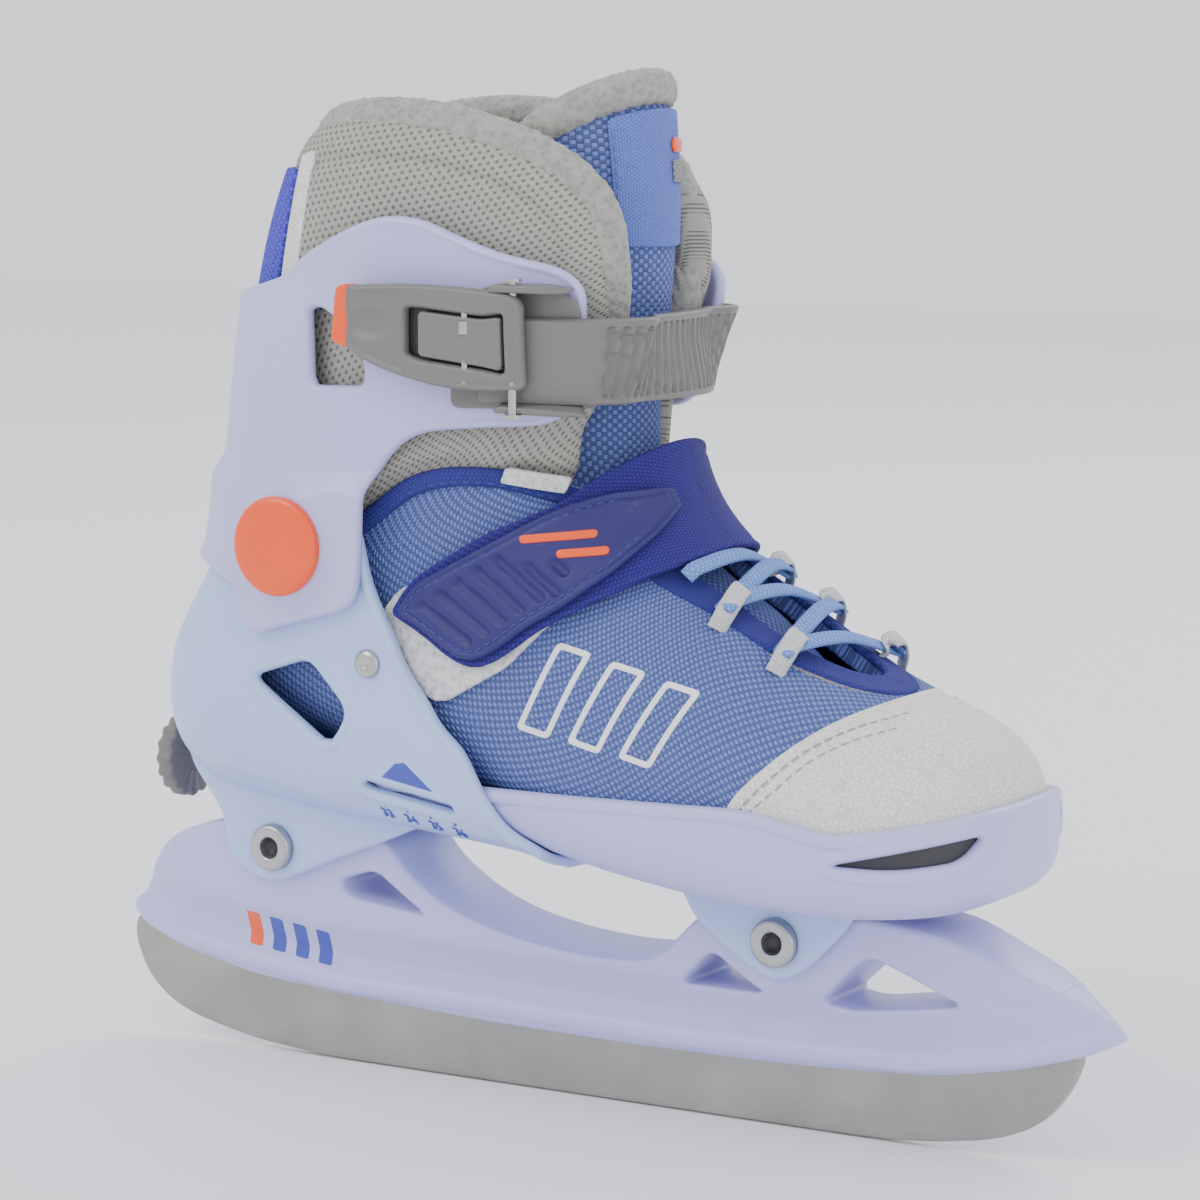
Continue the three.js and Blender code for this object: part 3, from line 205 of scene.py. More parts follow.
def distance_to(points, line):
    """Distance of each 2-D point to a closed outline and the direction away from it, in blocks of points."""
    a, b = line, np.roll(line, -1, 0)
    span = b - a
    squared = np.maximum((span**2).sum(1), 1e-12)
    out, way = np.empty(len(points)), np.empty((len(points), 2))
    for start in range(0, len(points), BLOCK):
        p = points[start:start + BLOCK, None]
        t = np.clip(((p - a) * span).sum(2) / squared, 0, 1)
        off = p - a - t[..., None] * span
        reach = (off**2).sum(2)
        near = reach.argmin(1)
        rows = np.arange(len(near))
        out[start:start + BLOCK] = np.sqrt(reach[rows, near])
        way[start:start + BLOCK] = off[rows, near]
    return out, way / np.maximum(out, 1e-9)[:, None]


def inside(points, line):
    """Even-odd test of 2-D points against a closed outline."""
    a, b = line, np.roll(line, -1, 0)
    x, z = points[:, 0, None], points[:, 1, None]
    crosses = (a[:, 1] > z) != (b[:, 1] > z)
    slope = (b[:, 0] - a[:, 0]) / np.where(a[:, 1] == b[:, 1], 1e-12, b[:, 1] - a[:, 1])
    return (crosses & (x < a[:, 0] + (z - a[:, 1]) * slope)).sum(1) % 2 == 1


class Region:
    """Signed distance to an outline seen along one axis: negative inside. Distances follow the surface."""

    def __init__(self, points, ease=0.0, axes=(0, 2)):
        """Outline points on the two axes that it is seen along."""
        self.line = eased(points, ease)
        self.axes = list(axes)

    def __call__(self, p, normal):
        """Plane distance to the outline, divided by how much the surface slants across it."""
        flat = p[:, self.axes]
        far, way = distance_to(flat, self.line)
        field = np.where(inside(flat, self.line), -far, far)
        slant = (way * normal[:, self.axes]).sum(1)
        return field / np.sqrt(np.clip(1 - slant**2, 0.12, 1))


def both(*fields):
    """Where every field holds."""
    return lambda p, n: np.max([f(p, n) for f in fields], axis=0)


def without(field, *holes):
    """The first field with the others cut out."""
    return lambda p, n: np.max([field(p, n)] + [-hole(p, n) for hole in holes], axis=0)


def one_side(side, at=0.0):
    """The half of the object on one side of y = at."""
    return lambda p, n: -side * (p[:, 1] - at)


# ------------------------------------------------------------------ meshes
def make_mesh(name, points, faces, uv=None):
    """Object from points in millimetres and triangles or quads, smooth shaded."""
    mesh = bpy.data.meshes.new(name)
    mesh.from_pydata((points * MM).tolist(), [], faces.tolist())
    mesh.update()
    mesh.polygons.foreach_set("use_smooth", np.ones(len(mesh.polygons), bool))
    if uv is not None:
        layer = mesh.uv_layers.new(name="UVMap")
        loops = np.empty(len(mesh.loops), np.int32)
        mesh.loops.foreach_get("vertex_index", loops)
        layer.data.foreach_set("uv", (uv[loops] * MM).astype(np.float32).ravel())
    obj = bpy.data.objects.new(name, mesh)
    bpy.context.scene.collection.objects.link(obj)
    return obj


def welded(points, faces, *others):
    """Merges points that coincide and drops the faces that collapse."""
    key = np.round(points, 4)
    _, first, back = np.unique(key, axis=0, return_index=True, return_inverse=True)
    faces = back.reshape(-1)[faces]
    flat = (faces[:, 0] == faces[:, 1]) | (faces[:, 1] == faces[:, 2]) | (faces[:, 2] == faces[:, 0])
    return (points[first], faces[~flat]) + tuple(o[first] for o in others)


def split_at(places, faces, field, level):
    """Cuts triangles along the line where a field has a value: new places lie on their edges."""
    high = field > level
    tri = high[faces]
    mixed = tri.any(1) & ~tri.all(1)
    whole, cut = faces[~mixed], faces[mixed]
    if not len(cut):
        return places, faces, field
    sides = high[cut]
    lone_value = sides.sum(1) == 1
    lone = np.where(lone_value, sides.argmax(1), (~sides).argmax(1))
    rows = np.arange(len(cut))
    a, b, c = cut[rows, lone], cut[rows, (lone + 1) % 3], cut[rows, (lone + 2) % 3]
    edges = np.concatenate([np.stack([a, b], 1), np.stack([a, c], 1)])
    ordered = np.sort(edges, 1)
    unique, back = np.unique(ordered, axis=0, return_inverse=True)
    back = back.reshape(-1)
    low, top = unique.T
    rise = np.where(field[top] == field[low], 1e-12, field[top] - field[low])
    t = np.clip((level - field[low]) / rise, 0.002, 0.998)
    new_places = places[low] + (places[top] - places[low]) * t[:, None]
    start = len(places)
    p, q = start + back[:len(cut)], start + back[len(cut):]
    made = np.concatenate([np.stack(k, 1) for k in ((a, p, q), (p, b, c), (p, c, q))])
    return (np.concatenate([places, new_places]), np.concatenate([whole, made]),
            np.concatenate([field, np.full(len(new_places), float(level))]))


def lattice(u_values, v_values):
    """Grid of places with two triangles a cell."""
    u, v = np.meshgrid(u_values, v_values, indexing="ij")
    index = np.arange(u.size).reshape(u.shape)
    a, b = index[:-1, :-1].ravel(), index[1:, :-1].ravel()
    c, d = index[1:, 1:].ravel(), index[:-1, 1:].ravel()
    faces = np.concatenate([np.stack([a, b, c], 1), np.stack([a, c, d], 1)])
    return np.stack([u.ravel(), v.ravel()], 1), faces


def sheet(name, surface, grid, region, inner, outer, edge=0.9, levels=(), relief=None, uv_of=None,
          field_of=None):
    """Plate on a surface of two parameters, trimmed to a region whose rim is rounded.

    surface(u, v) gives points and normals; inner and outer are distances along the normal, numbers or
    functions of the point; the rim is rounded to a quarter circle of the edge's radius and closed by a
    straight wall, and relief(points, normals, field) lifts the outside further. field_of(places) may
    give the field instead of a region.
    """
    places, faces = grid

    def value(given, p):
        return given(p) if callable(given) else np.full(len(p), float(given))

    def field_at(some):
        if field_of:
            return field_of(some)
        p, n = surface(some[:, 0], some[:, 1])
        middle = p + n * ((value(inner, p) + value(outer, p)) / 2)[:, None]
        return region(middle, n)

    field = field_at(places)
    near = field[faces].min(1) < 2.0
    faces = faces[near]
    rings = [0.0, -0.12 * edge, -0.45 * edge, -edge] + [-level for level in levels]
    for level in sorted(rings, reverse=True):
        places, faces, field = split_at(places, faces, field, level)
    faces = faces[(field[faces] <= 1e-9).all(1)]
    used, back = np.unique(faces, return_inverse=True)
    places, field, faces = places[used], field[used], back.reshape(faces.shape)
    p, n = surface(places[:, 0], places[:, 1])
    low, high = value(inner, p), value(outer, p)
    middle, half = (low + high) / 2, (high - low) / 2
    radius = np.minimum(edge, half)
    depth = np.clip(1 + field / np.maximum(radius, 1e-6), 0, 1)
    round_off = radius * (1 - np.sqrt(np.clip(1 - depth**2, 0, 1)))
    lift = relief(p + n * high[:, None], n, field) * smooth(-field, 0, edge) if relief else 0
    top = p + n * (middle + half - round_off + lift)[:, None]
    bottom = p + n * (middle - half + round_off)[:, None]
    count = len(p)
    points = np.concatenate([top, bottom])
    ring = np.concatenate([faces[:, [0, 1]], faces[:, [1, 2]], faces[:, [2, 0]]])
    _, first, uses = np.unique(np.sort(ring, 1), axis=0, return_index=True, return_counts=True)
    a, b = ring[first[uses == 1]].T
    walls = np.concatenate([np.stack([b, a, a + count], 1), np.stack([b, a + count, b + count], 1)])
    both_faces = np.concatenate([faces, faces[:, ::-1] + count, walls])
    uv = uv_of(places) if uv_of else p[:, [0, 2]]
    points, both_faces, uv = welded(points, both_faces, np.concatenate([uv, uv]))
    return finished(name, points, both_faces, uv)


def finished(name, points, faces, uv=None):
    """Mesh whose faces point out of its solid."""
    a, b, c = points[faces[:, 0]], points[faces[:, 1]], points[faces[:, 2]]
    if (np.cross(a, b) * c).sum() < 0:
        faces = faces[:, ::-1]
    return make_mesh(name, points, faces, uv)


def boot_sheet(name, region, inner, outer, kind="shell", span=(0, LAST), angles=(0, FULL_TURN), step=1.6,
               **more):
    """Trimmed plate on the boot's form: places (station, angle) in a span, with cells about a step wide."""
    start, end = span
    rows = int((end - start) * STATION_LENGTH / step) + 2
    columns = int((angles[1] - angles[0]) * RADIAN_LENGTH / step) + 2
    grid = lattice(np.linspace(start, end, rows), np.linspace(*angles, columns))

    def surface(s, a):
        return on_boot(s, a, kind), boot_normal(s, a, kind)

    return sheet(name, surface, grid, region, inner, outer, uv_of=lambda q: girth_uv(q, kind), **more)


def girth_uv(places, kind):
    """Lengths along the surface: round the section from the front line, and along the fan of sections."""
    s_line, a_line = np.linspace(0, LAST, 96), np.linspace(0, FULL_TURN, 97)
    s, a = np.meshgrid(s_line, a_line, indexing="ij")
    p = on_boot(s.ravel(), a.ravel(), kind).reshape(len(s_line), len(a_line), 3)
    round_length = np.zeros(s.shape)
    round_length[:, 1:] = np.cumsum(np.linalg.norm(np.diff(p, axis=1), axis=2), 1)
    side = p[:, len(a_line) // 4]
    along_length = np.concatenate([[0], np.cumsum(np.linalg.norm(np.diff(side, axis=0), axis=1))])
    turn = np.mod(places[:, 1], FULL_TURN) / (FULL_TURN) * (len(a_line) - 1)
    row = np.clip(places[:, 0], 0, LAST) / LAST * (len(s_line) - 1)
    i, j = np.minimum(row.astype(int), len(s_line) - 2), np.minimum(turn.astype(int), len(a_line) - 2)
    f, g = row - i, turn - j
    before = (1 - f) * round_length[i, j] + f * round_length[i + 1, j]
    after = (1 - f) * round_length[i, j + 1] + f * round_length[i + 1, j + 1]
    return np.stack([(1 - g) * before + g * after, np.interp(places[:, 0], s_line, along_length)], 1)


def curve_through(points, count):
    """Evenly spaced points on an open Catmull-Rom curve."""
    points = np.asarray(points, float)
    padded = np.concatenate([2 * points[:1] - points[1:2], points, 2 * points[-1:] - points[-2:-1]])
    pieces = len(padded) - 3
    t = np.linspace(0, pieces, pieces * 24 + 1)
    i = np.minimum(t.astype(int), pieces - 1)
    f = (t - i)[:, None]
    a, b, c, d = (padded[i + k] for k in range(4))
    fine = 0.5 * (2 * b + (c - a) * f + (2 * a - 5 * b + 4 * c - d) * f**2 + (3 * b - a - 3 * c + d) * f**3)
    length = np.concatenate([[0], np.cumsum(np.linalg.norm(np.diff(fine, axis=0), axis=1))])
    at = np.linspace(0, length[-1], count)
    return np.stack([np.interp(at, length, fine[:, k]) for k in range(fine.shape[1])], 1)


def frames_along(path, up):
    """Sideways and upright directions along a path: cross products of its tangent with the way up."""
    tangent = np.gradient(path, axis=0)
    tangent /= np.linalg.norm(tangent, axis=1)[:, None]
    side = np.cross(tangent, np.broadcast_to(up, path.shape))
    side /= np.maximum(np.linalg.norm(side, axis=1), 1e-9)[:, None]
    return side, np.cross(side, tangent)


GIRTH = 10  # millimetres of pattern round a swept piece


def swept(name, path, up, profile, scale=None):
    """Profile (sideways, upright) carried along a path, with its ends closed to a point."""
    side, top = frames_along(path, up)
    profile = np.asarray(profile, float)
    size = np.ones(len(path)) if scale is None else np.asarray(scale, float)
    ring = side[:, None] * profile[None, :, 0, None] + top[:, None] * profile[None, :, 1, None]
    points = path[:, None] + ring * size[:, None, None]
    rows, sides = points.shape[:2]
    length = np.concatenate([[0], np.cumsum(np.linalg.norm(np.diff(path, axis=0), axis=1))])
    around = np.arange(sides) / sides
    coordinates = np.stack(np.broadcast_arrays(length[:, None], around[None] * GIRTH), 2).reshape(-1, 2)
    index = np.arange(rows * sides).reshape(rows, sides)
    nxt = np.roll(index, -1, 1)
    quads = np.stack([index[:-1].ravel(), nxt[:-1].ravel(), nxt[1:].ravel(), index[1:].ravel()], 1)
    start, end = rows * sides, rows * sides + 1
    points = np.concatenate([points.reshape(-1, 3), path[:1], path[-1:]])
    coordinates = np.concatenate([coordinates, [[0, 0], [length[-1], 0]]])
    first = np.stack([np.full(sides, start), nxt[0], index[0]], 1)
    last = np.stack([np.full(sides, end), index[-1], nxt[-1]], 1)
    faces = np.concatenate([quads[:, [0, 1, 2]], quads[:, [0, 2, 3]], first, last])
    return finished(name, points, faces, coordinates)


def ellipse(width, height, sides=12, power=2.0):
    """Superellipse profile: cosine and sine, each raised to 2 / power with its sign kept."""
    a = np.arange(sides) / sides * FULL_TURN
    turn = np.stack([np.cos(a), np.sin(a)], 1)
    return np.sign(turn) * np.abs(turn) ** (2 / power) * [width / 2, height / 2]


def lathe(name, centre, axis, profile, sides=48, squarer=None):
    """Profile (distance along the axis, radius) turned round an axis; squarer(angle) scales the radius."""
    centre, axis = np.asarray(centre, float), np.asarray(axis, float)
    axis /= np.linalg.norm(axis)
    helper = np.array([0.0, 0, 1]) if abs(axis[2]) < 0.9 else np.array([1.0, 0, 0])
    u = np.cross(helper, axis)
    u /= np.linalg.norm(u)
    w = np.cross(axis, u)
    a = np.arange(sides) / sides * FULL_TURN
    profile = np.asarray(profile, float)
    radial = (u * np.cos(a)[:, None] + w * np.sin(a)[:, None]) * (squarer(a)[:, None] if squarer else 1)
    points = centre + profile[:, None, 0, None] * axis + profile[:, None, 1, None] * radial[None]
    rows = len(profile)
    index = np.arange(rows * sides).reshape(rows, sides)
    nxt = np.roll(index, -1, 1)
    quads = np.stack([index[:-1].ravel(), nxt[:-1].ravel(), nxt[1:].ravel(), index[1:].ravel()], 1)
    faces = np.concatenate([quads[:, [0, 1, 2]], quads[:, [0, 2, 3]]])
    points, faces = welded(points.reshape(-1, 3), faces)
    return finished(name, points, faces)


def stitches(name, lines, length=2.6, gap=0.9, width=0.55, lift=0.25):
    """Row of thread stitches: one small rounded bar for each, laid along lines of (point, normal)."""
    t = np.linspace(0, 1, 5)
    reach = np.sin(np.pi * np.clip(t, 0.04, 0.96)) ** 0.5
    around = np.arange(6) / 6 * FULL_TURN
    all_points, all_faces = [], []
    start = 0
    for path, normals in lines:
        run = np.concatenate([[0], np.cumsum(np.linalg.norm(np.diff(path, axis=0), axis=1))])
        count = max(1, int(run[-1] / (length + gap)))
        begin = (np.arange(count) + 0.12) * run[-1] / count
        at = (begin[:, None] + t[None] * length * run[-1] / count / (length + gap)).ravel()
        p = np.stack([np.interp(at, run, path[:, k]) for k in range(3)], 1)
        n = np.stack([np.interp(at, run, normals[:, k]) for k in range(3)], 1)
        tangent = np.gradient(p, axis=0)
        side = np.cross(tangent, n)
        side /= np.maximum(np.linalg.norm(side, axis=1), 1e-9)[:, None]
        n /= np.maximum(np.linalg.norm(n, axis=1), 1e-9)[:, None]
        arch = np.tile(reach, count)
        centre = p + n * (lift * arch)[:, None]
        ring = side[:, None] * np.cos(around)[None, :, None] + n[:, None] * np.sin(around)[None, :,
                                                                                           None] * 0.7
        radius = width / 2 * (0.45 + 0.55 * arch)
        points = (centre[:, None] + ring * radius[:, None, None]).reshape(count, 5, 6, 3)
        index = start + np.arange(points.size // 3).reshape(count, 5, 6)
        nxt = np.roll(index, -1, 2)
        quads = np.stack([index[:, :-1], nxt[:, :-1], nxt[:, 1:], index[:, 1:]], -1).reshape(-1, 4)
        caps = np.concatenate([index[:, 0][:, [0, 5, 4, 3]], index[:, 0][:, [0, 3, 2, 1]],
                               index[:, 4][:, [0, 1, 2, 3]], index[:, 4][:, [0, 3, 4, 5]]])
        all_points.append(points.reshape(-1, 3))
        all_faces.append(np.concatenate([quads, caps]))
        start += points.size // 3
    return make_mesh(name, np.concatenate(all_points), np.concatenate(all_faces))


def line_on_boot(points, distance, side=OUTER_SIDE, kind="shell", count=120, smooth_line=True):
    """Path and normals over the boot's surface through side-view points."""
    flat = curve_through(np.asarray(points, float), count) if smooth_line else np.asarray(points, float)
    s, angle = place_at(flat, distance, side, kind)
    return off_boot(s, angle, distance, kind), boot_normal(s, angle, kind)


# ------------------------------------------------------------------ shader groups and materials
def new_group(name, inputs, outputs):
    """Empty node group with named sockets, and its input and output nodes."""
    group = bpy.data.node_groups.new(name, "ShaderNodeTree")
    for socket, kind, default in inputs:
        made = group.interface.new_socket(socket, in_out="INPUT", socket_type=kind)
        if default is not None:
            made.default_value = default
    for socket, kind in outputs:
        group.interface.new_socket(socket, in_out="OUTPUT", socket_type=kind)
    return group, group.nodes.new("NodeGroupInput"), group.nodes.new("NodeGroupOutput")


FLOAT, VECTOR = "NodeSocketFloat", "NodeSocketVector"


class Tree:
    """Short hand for adding and linking nodes."""

    def __init__(self, tree):
        self.tree = tree

    def add(self, kind, links=(), **settings):
        """Node of a kind, its linked sockets, its socket values (in_ and the name or number) and settings."""
        node = self.tree.nodes.new("ShaderNode" + kind)
        for key, value in settings.items():
            if key.startswith("in_"):
                socket = node.inputs[int(key[3:]) if key[3:].isdigit() else key[3:].replace("_", " ")]
                socket.default_value = value
            else:
                setattr(node, key, value)
        for target, source in links:
            self.tree.links.new(source, node.inputs[target])
        return node

    def math(self, operation, a, b=0.0, clamp=False):
        """Result of a Math node on two numbers or sockets."""
        node = self.tree.nodes.new("ShaderNodeMath")
        node.operation, node.use_clamp = operation, clamp
        for socket, value in ((0, a), (1, b)):
            if isinstance(value, (int, float)):
                node.inputs[socket].default_value = value
            else:
                self.tree.links.new(value, node.inputs[socket])
        return node.outputs[0]

    def mix(self, factor, a, b):
        """Result of a colour mix of two colours or sockets."""
        node = self.tree.nodes.new("ShaderNodeMix")
        node.data_type = "RGBA"
        for socket, value in ((0, factor), (6, a), (7, b)):
            if isinstance(value, (int, float)):
                node.inputs[socket].default_value = value
            elif isinstance(value, tuple):
                node.inputs[socket].default_value = (*value[:3], 1)
            else:
                self.tree.links.new(value, node.inputs[socket])
        return node.outputs[2]

    def ramp(self, value, low, high):
        """Value brought from low..high to 0..1."""
        return self.add("MapRange", [(0, value)], in_1=low, in_2=high, clamp=True).outputs[0]


def grain_group():
    """Moulded skin: fine pebble height, a slow mottle of tone and roughness, and streaks of rubbed dirt."""
    group, given, out = new_group("moulded_skin", [("Vector", VECTOR, None), ("Scale", FLOAT, 2600.0)],
                                  [("Height", FLOAT), ("Mottle", FLOAT), ("Scuff", FLOAT)])
    t = Tree(group)
    fine = t.add("TexNoise", [("Vector", given.outputs[0]), ("Scale", given.outputs[1])], in_Detail=3.0)
    slow = t.add("TexNoise", [("Vector", given.outputs[0])], in_Scale=28.0, in_Detail=4.0)
    streak = t.add("Mapping", [("Vector", given.outputs[0])], in_3=(60.0, 260.0, 900.0))
    marks = t.add("TexNoise", [("Vector", streak.outputs[0])], in_Scale=1.0, in_Detail=5.0, in_Roughness=0.7)
    group.links.new(fine.outputs[0], out.inputs[0])
    group.links.new(slow.outputs[0], out.inputs[1])
    group.links.new(t.ramp(marks.outputs[0], 0.62, 0.74), out.inputs[2])
    return group


def weave_group():
    """Plain weave on a length UV: warp and weft ridges, each over and under in turn, with uneven yarns."""
    group, given, out = new_group("plain_weave", [("Vector", VECTOR, None), ("Yarn", FLOAT, 0.001)],
                                  [("Height", FLOAT), ("Over", FLOAT), ("Uneven", FLOAT)])
    t = Tree(group)
    parts = t.add("SeparateXYZ", [(0, given.outputs[0])])
    u = t.math("DIVIDE", parts.outputs[0], given.outputs[1])
    v = t.math("DIVIDE", parts.outputs[1], given.outputs[1])

    def ridge(x):
        return t.math("ABSOLUTE", t.math("SINE", t.math("MULTIPLY", x, math.pi)))

    cell = t.math("ADD", t.math("FLOOR", u), t.math("FLOOR", v))
    over = t.math("MODULO", t.math("ABSOLUTE", cell), 2.0)
    under = t.math("SUBTRACT", 1.0, over)
    height = t.math("ADD", t.math("MULTIPLY", ridge(u), over), t.math("MULTIPLY", ridge(v), under))
    noise = t.add("TexNoise", [("Vector", given.outputs[0])], in_Scale=900.0, in_Detail=2.0)
    group.links.new(height, out.inputs[0])
    group.links.new(over, out.inputs[1])
    group.links.new(noise.outputs[0], out.inputs[2])
    return group


def mesh_group():
    """Open knitted mesh on a length UV: rows of round holes set half a cell apart, between raised yarn."""
    group, given, out = new_group("open_mesh", [("Vector", VECTOR, None), ("Cell", FLOAT, 0.003)],
                                  [("Height", FLOAT), ("Hole", FLOAT), ("Fluff", FLOAT)])
    t = Tree(group)
    parts = t.add("SeparateXYZ", [(0, given.outputs[0])])
    u = t.math("DIVIDE", parts.outputs[0], given.outputs[1])
    v = t.math("DIVIDE", parts.outputs[1], t.math("MULTIPLY", given.outputs[1], 0.7))
    shift = t.math("MULTIPLY", t.math("MODULO", t.math("ABSOLUTE", t.math("FLOOR", v)), 2.0), 0.5)
    x = t.math("SUBTRACT", t.math("FRACT", t.math("ADD", u, shift)), 0.5)
    z = t.math("MULTIPLY", t.math("SUBTRACT", t.math("FRACT", v), 0.5), 0.8)
    far = t.math("SQRT", t.math("ADD", t.math("MULTIPLY", x, x), t.math("MULTIPLY", z, z)))
    fluff = t.add("TexNoise", [("Vector", given.outputs[0])], in_Scale=1400.0, in_Detail=3.0)
    wobble = t.math("ADD", far, t.math("MULTIPLY", t.math("SUBTRACT", fluff.outputs[0], 0.5), 0.18))
    group.links.new(t.ramp(wobble, 0.12, 0.34), out.inputs[0])
    group.links.new(t.math("SUBTRACT", 1.0, t.ramp(wobble, 0.14, 0.26)), out.inputs[1])
    group.links.new(fluff.outputs[0], out.inputs[2])
    return group


GROUPS = {"skin": grain_group(), "weave": weave_group(), "mesh": mesh_group()}


def material(name, color, roughness, **constants):
    """Principled material with its constants set on the sockets; returns the material, tree and shader."""
    made = bpy.data.materials.new(name)
    made.use_nodes = True
    tree = made.node_tree
    shader = tree.nodes["Principled BSDF"]
    shader.inputs["Base Color"].default_value = (*color, 1)
    shader.inputs["Roughness"].default_value = roughness
    for key, value in constants.items():
        shader.inputs[key.replace("_", " ")].default_value = value
    return made, Tree(tree), shader


def rgb(r, g, b):
    """Linear colour from display values out of 255, by the sRGB curve."""
    shares = [c / 255 for c in (r, g, b)]
    return tuple(c / 12.92 if c <= 0.04045 else ((c + 0.055) / 1.055) ** 2.4 for c in shares)


def toned(color, share):
    """The colour made darker or lighter, held at white."""
    return tuple(min(1, c * share) for c in color)


def moulded(name, color, roughness, scale=2600.0, strength=0.05, **constants):
    """Moulded plastic or rubber: pebble grain, faint mottle and fine scuffs."""
    made, t, shader = material(name, color, roughness, **constants)
    where = t.add("TexCoord").outputs["Object"]
    skin = t.add("Group", node_tree=GROUPS["skin"])
    t.tree.links.new(where, skin.inputs["Vector"])
    skin.inputs["Scale"].default_value = scale
    tone = t.mix(skin.outputs["Mottle"], toned(color, 0.93), toned(color, 1.035))
    rubbed = tuple(0.35 + 0.5 * c for c in color)
    scuffed = t.mix(t.math("MULTIPLY", skin.outputs["Scuff"], 0.10), tone, rubbed)
    t.tree.links.new(scuffed, shader.inputs["Base Color"])
    rough = t.math("ADD", t.math("MULTIPLY", skin.outputs["Mottle"], 0.10), roughness - 0.05)
    rough = t.math("ADD", rough, t.math("MULTIPLY", skin.outputs["Scuff"], 0.12), clamp=True)
    t.tree.links.new(rough, shader.inputs["Roughness"])
    bump = t.add("Bump", [("Height", skin.outputs["Height"])], in_Strength=strength, in_Distance=0.0002)
    t.tree.links.new(bump.outputs[0], shader.inputs["Normal"])
    return made


def woven(name, over_color, under_color, yarn, roughness=0.85, strength=0.6, **constants):
    """Woven cloth or tape: warp over weft in two tones, with painted shade darkening the grooves between the
    yarns.
    """
    made, t, shader = material(name, over_color, roughness, **constants)
    weave = t.add("Group", node_tree=GROUPS["weave"])
    t.tree.links.new(t.add("TexCoord").outputs["UV"], weave.inputs["Vector"])
    weave.inputs["Yarn"].default_value = yarn
    tone = t.mix(weave.outputs["Over"], under_color, over_color)
    # painted shade: the low parts of the weave are darkened towards a deep tone of the under yarn
    groove_shaded = t.mix(t.ramp(weave.outputs["Height"], 0.55, 0.0), tone, toned(under_color, 0.35))
    varied = t.mix(t.math("MULTIPLY", weave.outputs["Uneven"], 0.35), groove_shaded, toned(over_color, 1.5))
    t.tree.links.new(varied, shader.inputs["Base Color"])
    bump = t.add("Bump", [("Height", weave.outputs["Height"])], in_Strength=strength, in_Distance=0.0005)
    t.tree.links.new(bump.outputs[0], shader.inputs["Normal"])
    return made


def netted(name, color, hole_foam_and_shade, cell, roughness=0.9, strength=0.8, **constants):
    """Open knitted mesh over foam: the holes take the foam's colour, darkened as painted shade in the holes.
    """
    made, t, shader = material(name, color, roughness, **constants)
    net = t.add("Group", node_tree=GROUPS["mesh"])
    t.tree.links.new(t.add("TexCoord").outputs["UV"], net.inputs["Vector"])
    net.inputs["Cell"].default_value = cell
    yarn = t.mix(net.outputs["Fluff"], toned(color, 0.78), toned(color, 1.18))
    # the holes show the foam below, darkened as painted shade in the holes
    t.tree.links.new(t.mix(net.outputs["Hole"], yarn, hole_foam_and_shade), shader.inputs["Base Color"])
    bump = t.add("Bump", [("Height", net.outputs["Height"])], in_Strength=strength, in_Distance=0.0006)
    t.tree.links.new(bump.outputs[0], shader.inputs["Normal"])
    return made


def fuzzy(name, color, **constants):
    """Brushed plush: soft clumps of short pile, darker low between the clumps and lighter on their tops as
    painted shade and highlight, with a pale sheen where the Sheen constants are given.
    """
    made, t, shader = material(name, color, 0.95, **constants)
    where = t.add("TexCoord").outputs["Object"]
    pile = t.add("TexNoise", [("Vector", where)], in_Scale=1900.0, in_Detail=4.0, in_Roughness=0.7)
    clump = t.add("TexVoronoi", [("Vector", where)], in_Scale=520.0)
    height = t.math("ADD", pile.outputs[0], t.math("MULTIPLY", clump.outputs[0], 0.7))
    # painted shade and highlight: the pile is darker low between the clumps and lighter on their tops
    tone = t.mix(t.ramp(height, 0.35, 1.0), toned(color, 0.62), toned(color, 1.18))
    t.tree.links.new(tone, shader.inputs["Base Color"])
    bump = t.add("Bump", [("Height", height)], in_Strength=0.9, in_Distance=0.0007)
    t.tree.links.new(bump.outputs[0], shader.inputs["Normal"])
    return made


def leather(name, color):
    """Grained synthetic leather: small cells between fine creases that are darkened as painted shade, with
    soft wear.
    """
    made, t, shader = material(name, color, 0.5, Specular_IOR_Level=0.4)
    where = t.add("TexCoord").outputs["Object"]
    cells = t.add("TexVoronoi", [("Vector", where)], feature="DISTANCE_TO_EDGE", in_Scale=850.0)
    slow = t.add("TexNoise", [("Vector", where)], in_Scale=60.0, in_Detail=5.0)
    crease = t.ramp(cells.outputs[0], 0.0, 0.16)
    tone = t.mix(slow.outputs[0], toned(color, 0.86), toned(color, 1.05))
    # painted shade: the creases between the cells are darkened
    t.tree.links.new(t.mix(crease, toned(color, 0.7), tone), shader.inputs["Base Color"])
    bump = t.add("Bump", [("Height", crease)], in_Strength=0.25, in_Distance=0.0003)
    t.tree.links.new(bump.outputs[0], shader.inputs["Normal"])
    return made


def metal(name, color, roughness, along=(30.0, 900.0, 2600.0), strength=0.12):
    """Ground or plated metal: brushing lines along the piece, tiny pits and a slow stain."""
    made, t, shader = material(name, color, roughness, Metallic=1.0)
    where = t.add("TexCoord").outputs["Object"]
    stretched = t.add("Mapping", [("Vector", where)], in_3=along)
    lines = t.add("TexNoise", [("Vector", stretched.outputs[0])], in_Scale=1.0, in_Detail=5.0,
                  in_Roughness=0.7)
    stain = t.add("TexNoise", [("Vector", where)], in_Scale=45.0, in_Detail=6.0)
    tone = t.mix(t.ramp(stain.outputs[0], 0.35, 0.7), toned(color, 0.8), color)
    shade = t.mix(t.math("MULTIPLY", lines.outputs[0], 0.35), tone, toned(color, 0.55))
    t.tree.links.new(shade, shader.inputs["Base Color"])
    rough = t.math("ADD", t.math("MULTIPLY", lines.outputs[0], 0.22), roughness - 0.1, clamp=True)
    t.tree.links.new(rough, shader.inputs["Roughness"])
    bump = t.add("Bump", [("Height", lines.outputs[0])], in_Strength=strength, in_Distance=0.0001)
    t.tree.links.new(bump.outputs[0], shader.inputs["Normal"])
    return made


